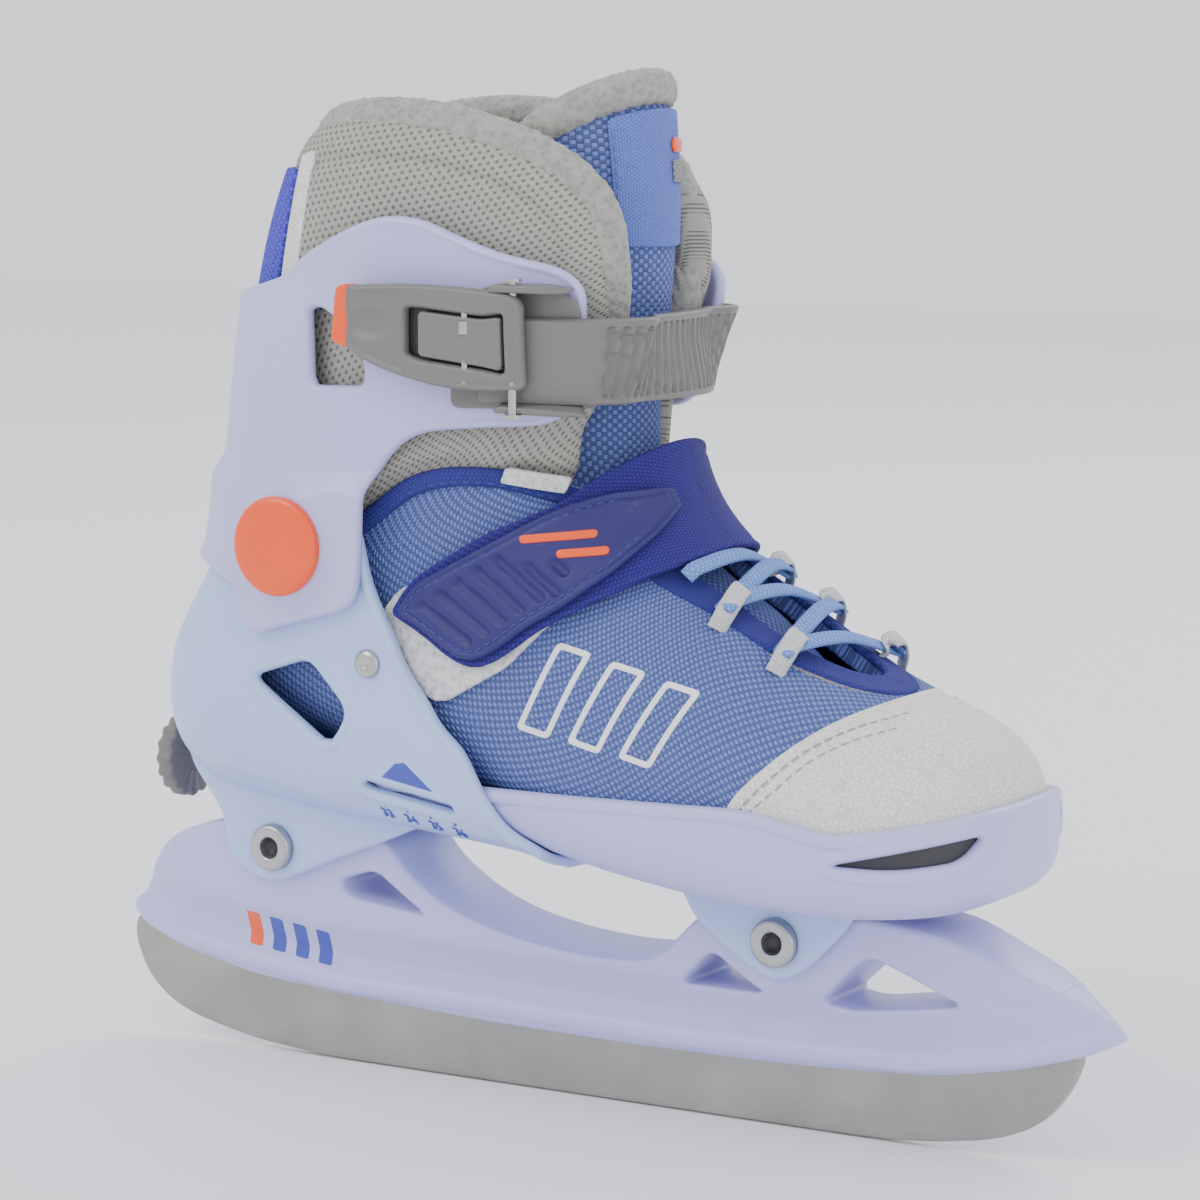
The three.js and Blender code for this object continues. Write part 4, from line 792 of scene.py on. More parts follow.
LOOKS = {
    "lavender_plastic": moulded("lavender_plastic", rgb(184, 184, 232), 0.36, Coat_Weight=0.12,
                                Coat_Roughness=0.3),
    "ice_plastic": moulded("ice_plastic", rgb(172, 194, 238), 0.36, Coat_Weight=0.12, Coat_Roughness=0.3),
    "grey_plastic": moulded("grey_plastic", rgb(112, 110, 108), 0.42, strength=0.12),
    # dark_plastic serves as painted shade: in the bolt sockets, on the size knob's face, under the lever's
    # window and behind the toe vent
    "dark_plastic": moulded("dark_plastic", rgb(52, 52, 56), 0.5, strength=0.15),
    "blue_plastic": moulded("blue_plastic", rgb(60, 74, 176), 0.4),
    "orange_plastic": moulded("orange_plastic", rgb(246, 80, 6), 0.3, Coat_Weight=0.2, Coat_Roughness=0.25),
    "white_plastic": moulded("white_plastic", rgb(236, 236, 240), 0.4),
    "strap_rubber": moulded("strap_rubber", rgb(30, 22, 98), 0.5, strength=0.25),
    "blade_steel": metal("blade_steel", rgb(176, 174, 168), 0.36),
    "hardware_steel": metal("hardware_steel", rgb(196, 196, 194), 0.3, along=(500.0, 500.0, 500.0)),
    "brass": metal("brass", rgb(206, 170, 96), 0.35, along=(500.0, 500.0, 500.0)),
    "woven_mesh": woven("woven_mesh", rgb(104, 122, 186), rgb(56, 66, 122), 0.00105),
    # the second colour is the foam in the mesh's holes, darkened as painted shade
    "padded_mesh": netted("padded_mesh", rgb(160, 158, 150), rgb(104, 102, 96), 0.0023, strength=0.5),
    "plush": fuzzy("plush", rgb(164, 163, 156), Sheen_Weight=0.3, Sheen_Roughness=0.5),
    "insole_felt": fuzzy("insole_felt", rgb(92, 94, 104)),
    "loop_fabric": fuzzy("loop_fabric", rgb(222, 222, 222)),
    "tab_webbing": woven("tab_webbing", rgb(78, 76, 200), rgb(54, 52, 160), 0.0009),
    "piping": woven("piping", rgb(50, 52, 142), rgb(34, 36, 110), 0.00055),
    "cap_leather": leather("cap_leather", rgb(232, 231, 224)),
    "label_fabric": woven("label_fabric", rgb(106, 126, 208), rgb(88, 108, 192), 0.0005),
    "lace_cord": woven("lace_cord", rgb(126, 160, 226), rgb(86, 122, 206), 0.0007),
    "strap_webbing": woven("strap_webbing", rgb(46, 34, 134), rgb(28, 20, 96), 0.0009),
    "thread_pale": woven("thread_pale", rgb(150, 168, 226), rgb(120, 140, 210), 0.0004),
    "thread_blue": woven("thread_blue", rgb(92, 100, 206), rgb(70, 78, 180), 0.0004),
    "thread_white": woven("thread_white", rgb(226, 226, 226), rgb(196, 196, 200), 0.0004),
    "grey_cloth": woven("grey_cloth", rgb(150, 150, 150), rgb(120, 120, 122), 0.0008),
    "dark_lining": woven("dark_lining", rgb(52, 56, 96), rgb(34, 36, 70), 0.0012),
}


def settle(obj, look, body=None, blend=None, replaces=()):
    """Gives a piece its material and the body it rides on, or with a blend bakes its place into the mesh and
    leaves it unparented, and hides the nodes it stands for.
    """
    obj.data.materials.clear()
    obj.data.materials.append(LOOKS[look])
    if blend:
        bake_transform(obj)
    else:
        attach(obj, body)
    if replaces:
        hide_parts(*replaces)
    return obj


# ------------------------------------------------------------------ blade and holder
def flat_surface(x, z):
    """The centre plane, facing the outer side."""
    p = np.stack([x, np.zeros_like(x), z], 1)
    n = np.zeros_like(p)
    n[:, 1] = -1
    return p, n


def flat_sheet(name, region, low, high, box, step=1.5, **more):
    """Plate parallel to the centre plane; low and high are distances towards the outer side."""
    x0, x1, z0, z1 = box
    rows, columns = int((x1 - x0) / step) + 2, int((z1 - z0) / step) + 2
    grid = lattice(np.linspace(x0, x1, rows), np.linspace(z0, z1, columns))
    return sheet(name, flat_surface, grid, region, low, high, **more)


BLADE_HALF = 2.0
BLADE_LINE = [
    (-142, 30, 1), (-142.5, 25, 3), (-139, 16, 5), (-132, 9.5, 5), (-124, 6, 5), (-106, 2, 8), (-82, 0, 8),
    (77, 0, 8), (92, 1, 6), (110, 4, 6), (121, 9, 5), (128, 18, 4), (131, 26, 1), (126, 29), (96, 25),
    (60, 23), (-52, 24), (-101, 27), (-125, 31), (-136, 33),
]
HOLDER_OUTLINE = [
    (-142.8, 34.5, 2), (-137, 28.3, 4), (-125, 24.3, 6), (-101, 20.3, 9), (-76, 18.3, 9), (-52, 17.3, 9),
    (-30, 16.3, 9), (15, 15.8, 12), (60, 16.3, 12), (96, 18.3, 9), (117, 22.3, 6), (133, 27, 4),
    (141.5, 31, 1.2), (137.5, 36, 3), (128, 42, 4), (121, 45, 5), (106, 51, 5), (99, 53.5, 4), (80, 56, 2),
    (45, 56, 2), (36, 52, 4), (30, 46, 4), (26, 41.5, 4), (21, 39.2, 4), (8, 38.2, 8), (-9, 39.2, 8),
    (-25, 42, 8), (-37, 46.3, 6), (-46, 52, 5), (-50, 55.5, 4), (-54, 61, 3), (-60, 63, 2), (-107, 61.5, 4),
    (-120, 57, 5), (-127, 53, 5), (-133, 45, 5), (-137, 38.5, 4),
]
# lines of the holder's flank: x and the height, or the share of the width, that it has there
LIP_LINE = np.array([(-143, 34), (-125, 28.5), (-76, 22.5), (29, 20.5), (90, 22), (119, 27), (141, 34)],
                    float)
PLAN_SHARE = np.array([(-146, 0.22), (-140, 0.45), (-124, 0.74), (-100, 1), (96, 1), (122, 0.76), (138, 0.4),
                       (143, 0.16)], float)
CREASE_LINE = np.array([(60, 52), (84, 44), (112, 37.5), (141, 33)], float)
LIP_HALF, WAIST_MORE, POST_MORE, HOLDER_HALF_MOST = 7.6, 5.6, 0.8, 14.0
REAR_WINDOW = [(-69, 49.5), (-58, 53, 3), (-43, 43, 2), (-66, 45.5, 3)]
FRONT_SMALL_WINDOW = [(29.5, 34), (39, 43.5, 3), (53, 34)]
FRONT_WINDOW = [(67.5, 33.5), (81, 47, 4), (105, 37, 3), (75, 32.5, 3)]


def holder_half(p):
    """Half width of the holder: a lip with a bead, a waist above it, posts, and ends that taper in plan."""
    x, z = p[:, 0], p[:, 2]
    over = z - np.interp(x, *LIP_LINE.T)
    section = LIP_HALF + WAIST_MORE * smooth(over, 1.5, 17) + POST_MORE * smooth(over, 14, 26)
    bead = 1.5 * np.exp(-((over + 1.2) / 2.0) ** 4)
    plan = np.interp(x, *PLAN_SHARE.T)
    crease = 1.3 * smooth(z - np.interp(x, *CREASE_LINE.T), -1.6, 0.6) * smooth(x, 78, 100)
    hollow = 1.1 * smooth(over, 3, 7) * (1 - smooth(over, 11, 16)) * (1 - smooth(x, 60, 90))
    half = (section - hollow - crease) * plan + bead * np.minimum(1, plan + 0.2)
    return np.minimum(half, HOLDER_HALF_MOST)


def holder_and_blade():
    """The blade is a flat plate; the holder is one whose thickness at each place is its half width twice."""
    blade = flat_sheet("blade_steel_runner", Region(BLADE_LINE), -BLADE_HALF, BLADE_HALF, (-146, 134, -1, 36),
                       step=2.0, edge=0.35)
    settle(blade, "blade_steel", "base", replaces=["blade"])
    windows = [Region(w, 3) for w in (REAR_WINDOW, FRONT_SMALL_WINDOW, FRONT_WINDOW)]
    region = without(Region(HOLDER_OUTLINE), *windows)
    holder = flat_sheet("holder_moulding", region, lambda p: -holder_half(p), holder_half,
                        (-146, 146, 14, 66), step=1.1, edge=1.5)
    settle(holder, "lavender_plastic", "base", replaces=["blade_holder"])


def fork(name, points, box, side):
    """Cheek that holds a post of the holder: a flat plate beside the centre plane."""
    low, high = (FORK_IN, FORK_OUT) if side < 0 else (-FORK_OUT, -FORK_IN)
    cheek = flat_sheet(name, Region(points), low, high, box, step=1.4, edge=1.5)
    return settle(cheek, "ice_plastic", "base")


REAR_FORK = [
    (-114, 84, 3), (-112, 76, 4), (-106, 69, 5), (-102, 63, 4), (-101, 55, 4), (-97, 50.5, 5), (-90, 47.5, 5),
    (-83, 48.5, 5), (-71, 54, 6), (-56, 60, 6), (-40, 67, 6), (-30, 74, 2), (-60, 88, 2),
]
FRONT_FORK = [
    (27, 66, 2), (33, 58, 4), (36.5, 51.5, 5), (51, 41.5, 5), (59, 38.3, 6), (67, 42.5, 5), (78, 54, 4),
    (84, 66, 2),
]
# turned profiles: height over the seat and radius
BOLT_PROFILE = [
    (-0.4, 0), (-0.4, 6.0), (1.5, 6.0), (2.2, 5.75), (2.6, 5.2), (2.7, 4.4), (2.6, 3.3), (2.5, 2.9),
    (2.3, 2.75),
]
SOCKET_PROFILE = [(2.35, 2.9), (2.2, 2.6), (0.6, 2.5), (0.5, 0)]
HEX_SIDES = 6
CAP_PROFILE = [
    (-0.6, 0), (-0.6, 11.6), (0.2, 12.1), (1.6, 12.2), (2.2, 11.8), (2.55, 11.0), (2.75, 9.0), (2.85, 5),
    (2.9, 0),
]
RIVET_PROFILE = [(-0.3, 0), (-0.3, 3.5), (0.6, 3.5), (1.1, 3.1), (1.45, 2.2), (1.55, 1.2), (1.3, 0.9),
                 (1.2, 0)]
KNOB_PROFILE = [
    (1.6, 8.0), (0.5, 8.4), (0.0, 9.2), (0.3, 10.2), (1.2, 10.6), (4.2, 10.7), (5.0, 10.1), (5.0, 4.2),
    (16.0, 4.0), (16.0, 2.5), (1.6, 2.5),
]
KNOB_FACE_PROFILE = [
    (1.9, 0), (1.9, 8.2), (0.9, 8.2), (0.55, 7.8), (0.45, 7.0), (0.7, 6.0), (0.75, 3), (0.3, 2.6), (0.25, 0),
]
KNOB_RIDGES, RIDGE_SHARE = 16, 0.045


def bolt(name, x, z, side, node):
    """Low round head with a broken edge and a hexagonal socket, both turned round the bolt's axis; the socket
    is dark plastic as painted shade in the hollow.
    """
    place = (x, side * FORK_OUT, z)
    head = lathe(name, place, (0, side, 0), BOLT_PROFILE, 48)
    socket = lathe(name + "_socket", place, (0, side, 0), SOCKET_PROFILE, HEX_SIDES)
    settle(head, "hardware_steel", "base", replaces=[node])
    # painted shade: the socket is lined in dark plastic for the shade inside it
    settle(socket, "dark_plastic", "base")


# ------------------------------------------------------------------ shell halves
def hug(p):
    """Above the base wing the cuff comes closer to the boot."""
    return CUFF_HUG * smooth(p[:, 2], HUG_LOW, HUG_HIGH)


BASE_OUTLINE = [
    (6, 50), (4.5, 62, 3), (3, 67, 3), (-4, 71, 6), (-9, 80, 6), (-14, 91, 6), (-21, 96, 5), (-25, 102, 5),
    (-32, 110, 6), (-36, 119, 6), (-39, 124, 4), (-42, 131, 4), (-43, 136, 4), (-45, 145, 4),
    (-52, 148.5, 5), (-66, 149.5, 6), (-78, 146, 6), (-88, 138, 5), (-97, 135, 5), (-150, 135), (-150, 50),
]
BASE_WINDOW = [(-78, 104, 2), (-60, 109.8, 3), (-48.5, 97.5, 4), (-55.5, 88.2, 3)]
SIZE_SLOT = [(-46.5, 78.6, 1), (-46.2, 81, 1), (-18.6, 77.2, 1), (-19, 74.8, 1)]
TOE_OUTLINE = [
    (-46, 45), (-46, 81), (-5, 82, 8), (21, 83, 10), (41, 84, 10), (64, 85, 9), (77, 82, 6), (85, 80, 6),
    (91, 81, 5), (105, 83.3, 6), (119, 86.5, 6), (150, 90), (150, 45),
]
TOE_VENT = [(84.5, 73.2, 2), (98, 76.2, 4), (113.5, 79.8, 1.5), (110.5, 74.2, 3), (98, 72.3, 5)]
CUFF_OUTLINE = [
    (-150, 195), (-99, 196, 6), (-68, 203, 5), (-62, 208, 4), (-54, 212, 4), (-45, 216, 5), (-36, 218.5, 5),
    (-26, 218, 5), (-10, 212, 7), (-1, 209.5, 5), (8, 208, 4), (13, 206.5, 3), (17, 203, 3), (17.5, 198, 4),
    (15, 180, 5), (12.5, 175, 3), (9, 171.5, 3), (4, 169.5, 4), (-6, 169, 5), (-18, 168, 6), (-26, 167, 4),
    (-32, 164, 4), (-37, 159, 4), (-41, 153, 4), (-41.5, 147, 4), (-42, 138, 4), (-43, 128, 4), (-46, 123, 4),
    (-62, 119, 7), (-74, 115, 3), (-77, 116, 2), (-78, 120, 3), (-80, 126, 4), (-90, 129.5, 5),
    (-107, 131, 6), (-150, 131),
]
CUFF_WINDOW = [(-59, 195.5, 1.5), (-55, 196, 2), (-47, 191, 3), (-42, 184, 3), (-42, 177.5, 2), (-58, 177, 2)]


FOLD_LINE = np.array([(-95, 78), (-77, 74.5), (-64, 71.5), (-50, 69), (-36, 68)], float)


def rim_bead(width, height):
    """Flat raised band that runs along the rim."""
    return lambda p, n, field: height * (1 - smooth(-field, width - 0.35, width + 0.35))


def plan_box(x0, x1, half, ease=2):
    """Rectangle seen from above, across the centre plane."""
    return Region([(x0, -half), (x0, half), (x1, half), (x1, -half)], ease, axes=(0, 1))


def lower_than(height):
    """Everything under a height."""
    return lambda p, n: p[:, 2] - height


def higher_than(height):
    """Everything over a height."""
    return lambda p, n: height - p[:, 2]


def shells():
    """Base shell with its forks and sole rail, sliding toe shell and hinged cuff, each a trimmed plate."""
    window, slot = Region(BASE_WINDOW), Region(SIZE_SLOT)
    region = without(Region(BASE_OUTLINE), window, both(slot, one_side(OUTER_SIDE)))

    def base_relief(p, n, field):
        """A raised lip round the wing's edge, and a step in along the fold above the sole."""
        lip = 0.45 * (1 - smooth(-field, 2.0, 2.7)) * (field > -3)
        under_fold = p[:, 2] < np.interp(p[:, 0], *FOLD_LINE.T)
        return lip - 0.6 * (under_fold & (np.abs(p[:, 1]) > 20))

    base = boot_sheet("base_shell_moulding", region, lambda p: BASE_IN - hug(p) * 0.6,
                      lambda p: BASE_OUT - hug(p), span=(6.5, 14), angles=(0.4, FULL_TURN - 0.4),
                      edge=1.1, levels=(2.0, 2.35, 2.7), relief=base_relief, step=1.3)
    settle(base, "ice_plastic", "base", replaces=["base_shell"])
    rail = boot_sheet("sole_rail", both(plan_box(-2, 81, 19), lower_than(78)), TOE_IN, TOE_OUT - 0.3,
                      span=(4, 10.5), angles=(2, 4.3), edge=0.8)
    settle(rail, "ice_plastic", "base")
    for side, tag in ((OUTER_SIDE, "outer"), (INNER_SIDE, "inner")):
        fork(f"rear_fork_{tag}", REAR_FORK, (-118, -26, 44, 92), side)
        fork(f"front_fork_{tag}", FRONT_FORK, (22, 88, 36, 70), side)

    floor_slot = both(plan_box(-50, 84, 19.4), lower_than(74))
    toe_region = without(Region(TOE_OUTLINE), Region(TOE_VENT), floor_slot)
    toe = boot_sheet("toe_shell_moulding", toe_region, TOE_IN, TOE_OUT, span=(-1, 11),
                     edge=1.1, levels=(2.65, 3.0, 3.35), step=1.3, relief=rim_bead(3.0, 0.55))
    settle(toe, "lavender_plastic", "toe_half", replaces=["toe_shell"])

    def cuff_relief(p, n, field):
        """Boss round each pivot and a slim raised rim."""
        away = np.hypot(p[:, 0] - PIVOT[0], p[:, 2] - PIVOT[1])
        return 1.6 * (1 - smooth(away, 12.6, 14.8)) + 0.3 * (1 - smooth(-field, 1.6, 2.2)) * (away > 15)

    cuff_region = without(Region(CUFF_OUTLINE), Region(CUFF_WINDOW))
    cuff = boot_sheet("cuff_moulding", cuff_region, lambda p: CUFF_IN - hug(p), lambda p: CUFF_OUT - hug(p),
                      span=(9.5, 18.8), angles=(0.12, FULL_TURN - 0.12), edge=1.3, levels=(1.6, 2.2),
                      step=1.3, relief=cuff_relief)
    settle(cuff, "lavender_plastic", "cuff", replaces=["cuff"])


def on_skin(x, z, distance, side, kind="shell"):
    """Point and normal of the layer at one side-view place."""
    s, a = place_at([(x, z)], distance, side, kind)
    return off_boot(s, a, distance, kind)[0], boot_normal(s, a, kind)[0]


def fittings():
    """Caps, rivets, bolts and the size knob, all turned; the small steel nodes keep their own shapes."""
    for side, tag in ((OUTER_SIDE, "outer"), (INNER_SIDE, "inner")):
        seat = NODES[f"cuff_cap_{tag}"]
        low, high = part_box(seat.name)
        face = (high[1] if side < 0 else low[1]) / MM
        cap = lathe(f"pivot_cap_{tag}", (PIVOT[0], face, PIVOT[1]), (0, side, 0), CAP_PROFILE, 64)
        settle(cap, "orange_plastic", "cuff", replaces=[f"cuff_cap_{tag}"])
        rivet = lathe(f"wing_rivet_{tag}", *on_skin(*WING_RIVET, BASE_OUT, side), RIVET_PROFILE, 32)
        settle(rivet, "hardware_steel", "base", replaces=[f"shell_rivet_{tag}"])
    for end, (x, z) in BOLT_PLACES.items():
        bolt(f"{end}_bolt_head", x, z, OUTER_SIDE, f"{end}_bolt")
        bolt(f"{end}_nut_head", x, z, INNER_SIDE, f"{end}_nut")
    steel = ("cuff_rivet_outer", "cuff_rivet_inner", "buckle_rivet", "strap_rivet", "buckle_pin", "pawl_pin",
             "pawl_spring", "size_screw")
    kept = {**dict.fromkeys(steel, "hardware_steel"), "size_nut": "brass", "size_pointer": "blue_plastic",
            "insole": "insole_felt"}
    for node, look in kept.items():
        NODES[node].data.materials.clear()
        NODES[node].data.materials.append(LOOKS[look])
    knob_place = (KNOB_X, 0, KNOB_Z)
    rim = lathe("size_knob_grip", knob_place, (1, 0, 0), KNOB_PROFILE, 192,
                lambda a: 1 + RIDGE_SHARE * np.cos(KNOB_RIDGES * a))
    settle(rim, "grey_plastic", "size_dial", replaces=["size_knob"])
    # painted shade: the knob's front face is dark plastic for the shadow on it, while its rim keeps the
    # knob's grey
    face = lathe("size_knob_shaded_face", knob_place, (1, 0, 0), KNOB_FACE_PROFILE, 64)
    settle(face, "dark_plastic", "size_dial", replaces=["size_knob_cap"])


# ------------------------------------------------------------------ soft boot
SOLE_LINE = 60  # height where the upper goes under the foot
PIPING_LINE = [
    (-60, 138), (-52, 142), (-45, 147), (-38, 152), (-31, 156), (-21, 158.3), (-10, 158.2), (0, 156),
    (10, 153), (25, 150), (45, 148), (130, 148),
]
CAP_LINE = [(57, 60), (57.5, 84), (65, 92), (74, 100), (82, 105), (93, 108.5), (99, 116)]
THROAT_HALF = [(-6, 19.5), (20, 17), (40, 13.5), (58, 12.5), (72, 8), (77, 3.5)]  # x and half width
EYESTAY_HALF = [(14, 24.5), (40, 20.5), (60, 19.5), (78, 13.5), (85.5, 6)]
PATCH_HALF = [(58, 30), (80, 20), (101, 12), (104, 0)]
COLLAR_TOP = [
    (13.4, 186), (16.4, 198), (17.2, 210), (15, 220.5), (8, 228.6), (-5, 235), (-24, 240), (-42, 241.5),
    (-58, 240), (-70, 236),
]
COLLAR_BACK = [(-78, 231), (-96, 225), (-150, 222)]
COLLAR_FOOT = [(-150, 128), (-75, 132), (-58, 134), (-46, 140), (-38, 145), (-31, 149), (-10, 152),
               (4, 152), (40, 150)]
GAP_HALF, GAP_BACK = 18.5, -12  # the collar's opening for the tongue
ROLL_DEPTH = -4.75
ROLL_BACK = (-79.5, 0, 228.5)
BOOT_MIDDLE = (-30.0, 0, 205.0)
TRIM_LINE = [(-76.4, 192), (-70.2, 232), (-63.6, 233.5), (-69.8, 192)]
TAB_LINE = [(-115, 194), (-112, 228.4), (-71, 228.4), (-76.8, 194)]
TONGUE = np.array([
    # x, z, half width, fall at the sides
    [72, 103, 13, 7], [58, 110, 16.5, 11], [44, 121.5, 19, 15], [30, 131, 19, 22], [19, 142, 19, 28],
    [12.5, 157, 18.5, 34], [12, 174, 18.5, 37], [14, 192, 20, 38], [15.5, 210, 20.5, 40],
    [15.5, 226, 21.5, 42], [14, 246, 24, 42],
], float)
TONGUE_ARC = math.radians(68)
TONGUE_LENGTH, TONGUE_HALF, TONGUE_ROWS = 178.0, 26, 200


def above(line):
    """Height over a side-view line."""
    line = np.array(line, float)
    return lambda p, n: p[:, 2] - np.interp(p[:, 0], line[:, 0], line[:, 1])


def seam_dip(field, depth=0.5, width=1.6):
    """Cloth drawn in beside a seam and full a little further in."""
    return -depth * np.exp(-(field / width) ** 2) + 0.5 * smooth(-field, 2, 9)


def mirrored(half):
    """Closed plan outline from the half widths on one side; a point on the centre line is used once."""
    return [(x, -y) for x, y in half] + [(x, y) for x, y in half[::-1] if y > 0]


def uppers():
    """The boot's cloth and leather: plates on the form under the shells, trimmed to their seams."""
    plan_throat = both(Region(mirrored(THROAT_HALF), 5, axes=(0, 1)), higher_than(98))
    ahead = Region(CAP_LINE + [(170, 120), (170, SOLE_LINE)], 6)

    def within_cap(p):
        """Depth inside the toe cap's outline."""
        return -ahead(p, np.zeros_like(p))

    vamp_region = without(both(above(PIPING_LINE), higher_than(SOLE_LINE)), plan_throat)
    vamp = boot_sheet("woven_upper", vamp_region, -5.0, lambda p: -0.1 - 1.3 * smooth(within_cap(p), -0.5, 3),
                      kind="sole", span=(0.6, 13), edge=1.0, step=1.8, relief=lambda p, n,
                      f: seam_dip(f, 0.3))
    settle(vamp, "woven_mesh", blend="toe", replaces=["vamp"])
    cap = boot_sheet("toe_cap_leather", both(ahead, higher_than(SOLE_LINE)), -4.0, 0.75, kind="sole",
                     span=(-1, 6.5), edge=0.9, step=1.3, relief=lambda p, n,
                     f: -0.35 * np.exp(-((f + 3.0) / 1.5) ** 2))
    settle(cap, "cap_leather", "toe_half", replaces=["toe_cap"])
    grey_region = without(both(Region(mirrored(PATCH_HALF), 8, axes=(0, 1)), higher_than(99)), plan_throat)
    grey = boot_sheet("vamp_patch", grey_region, -0.6, lambda p: 0.35 - 1.2 * smooth(within_cap(p), 0, 1.5),
                      kind="sole", span=(1.5, 6.5), angles=(-1.2, 1.2), edge=0.4, step=1.6)
    settle(grey, "grey_cloth", blend="toe")
    heel_line = [(-150, 134.5), (-64, 137.5), (-52, 141), (-50, 58), (-150, 58)]
    heel = boot_sheet("heel_lining", both(Region(heel_line), higher_than(SOLE_LINE)), -5.0, 0.0, kind="sole",
                      span=(8.5, 13.8), angles=(0.5, 5.8), edge=1.0, step=2.2)
    settle(heel, "dark_lining", "base", replaces=["heel_liner"])
    collar()
    eyestay_and_lace(plan_throat)
    tongue()
    strap()


def collar():
    """The padded collar, its plush rim, the heel's tab and trims, and the binding round the ankle."""
    full = Region(COLLAR_FOOT + COLLAR_TOP + COLLAR_BACK, 3)
    region = without(full, lambda p, n: np.maximum(np.abs(p[:, 1]) - GAP_HALF, GAP_BACK - p[:, 0]))
    sunk = above(PIPING_LINE)

    def outer(p):
        """Flush under the ankle's piping and full above it."""
        return -1.6 + 2.0 * smooth(sunk(p, p), 0, 6)

    def relief(p, n, field):
        """A quilted seam that follows the rim, with the pad swelling on both sides of it."""
        seam = 1.1 * np.exp(-((field + 9.5) / 1.3) ** 2)
        return 0.9 * smooth(-field, 1, 9) - seam - 0.8 * smooth(-field, 20, 60)

    pad = boot_sheet("collar_padding", region, -9.5, outer, span=(8, 18.6), angles=(0.05, FULL_TURN - 0.05),
                     edge=3.0, step=1.6, levels=(8.2, 9.5, 10.8), relief=relief)
    settle(pad, "padded_mesh", blend="ankle", replaces=["ankle_collar"])
    sides = []
    for side in (OUTER_SIDE, INNER_SIDE):
        sides.append(off_boot(*place_at(COLLAR_TOP, ROLL_DEPTH, side), ROLL_DEPTH))
    path = curve_through(np.concatenate([sides[0], [ROLL_BACK], sides[1][::-1]]), 260)
    roll = swept("collar_plush_roll", path, path - BOOT_MIDDLE, ellipse(9.2, 8.8, 28, 2.3))
    roughened(roll, 0.45)
    settle(roll, "plush", "cuff", replaces=["collar_roll"])
    tab = boot_sheet("heel_tab_webbing", Region(TAB_LINE, 1), 0.3, 2.4, span=(13, 18.5), angles=(1.5, 4.78),
                     edge=0.6, step=1.4, relief=lambda p, n, f: 0.35 * np.sin(p[:, 1] * 1.9))
    settle(tab, "tab_webbing", "cuff", replaces=["heel_tab"])
    for side, tag in ((OUTER_SIDE, "outer"), (INNER_SIDE, "inner")):
        trim = boot_sheet(f"heel_trim_leather_{tag}", both(Region(TRIM_LINE, 1), one_side(side)), 0.2, 1.6,
                          span=(13, 18.5), angles=(0.3, 6.0), edge=0.6, step=1.6)
        settle(trim, "cap_leather", "cuff", replaces=[f"heel_trim_{tag}"])
        band = [p for p in PIPING_LINE if -60 <= p[0] <= 14]
        line = np.array([(x, z - 2.2) for x, z in band])
        path, normals = line_on_boot(line, 0.2, side, "sole", 90)
        keep = np.abs(path[:, 1]) > 17
        piping = swept(f"ankle_binding_{tag}", path[keep], normals[keep], ellipse(4.8, 2.4, 16, 2.6))
        settle(piping, "piping", "base", replaces=[f"ankle_piping_{tag}"])
        row, row_n = line_on_boot(line - [0, 1.4], 1.0, side, "sole", 90)
        thread = stitches(f"ankle_stitches_{tag}", [(row[keep], row_n[keep])], 2.2, 0.9, 0.45)
        settle(thread, "thread_blue", "base")


def roughened(obj, amount):
    """Moves the vertices of a plush piece by a sum of sines of their place, as clumped pile stands."""
    count = len(obj.data.vertices)
    p = np.empty(count * 3)
    obj.data.vertices.foreach_get("co", p)
    p = p.reshape(-1, 3) / MM
    n = np.empty(count * 3)
    obj.data.vertices.foreach_get("normal", n)
    waves = np.array([[1.9, 2.3, 0.7], [-0.8, 1.7, 2.6], [2.9, -1.1, 1.3]])
    wave = np.sin(p @ waves.T + [0, 1, 2]).mean(1)
    p += n.reshape(-1, 3) * (wave * amount)[:, None]
    obj.data.vertices.foreach_set("co", (p * MM).ravel())
    obj.data.update()


EYESTAY_BACK = 24
LACE_STATIONS, LACE_ANGLE = (4.75, 5.2, 5.65, 6.1, 6.55, 7.0), 0.40
LOOP_RISE = np.array([1.8, 0, 3.6])


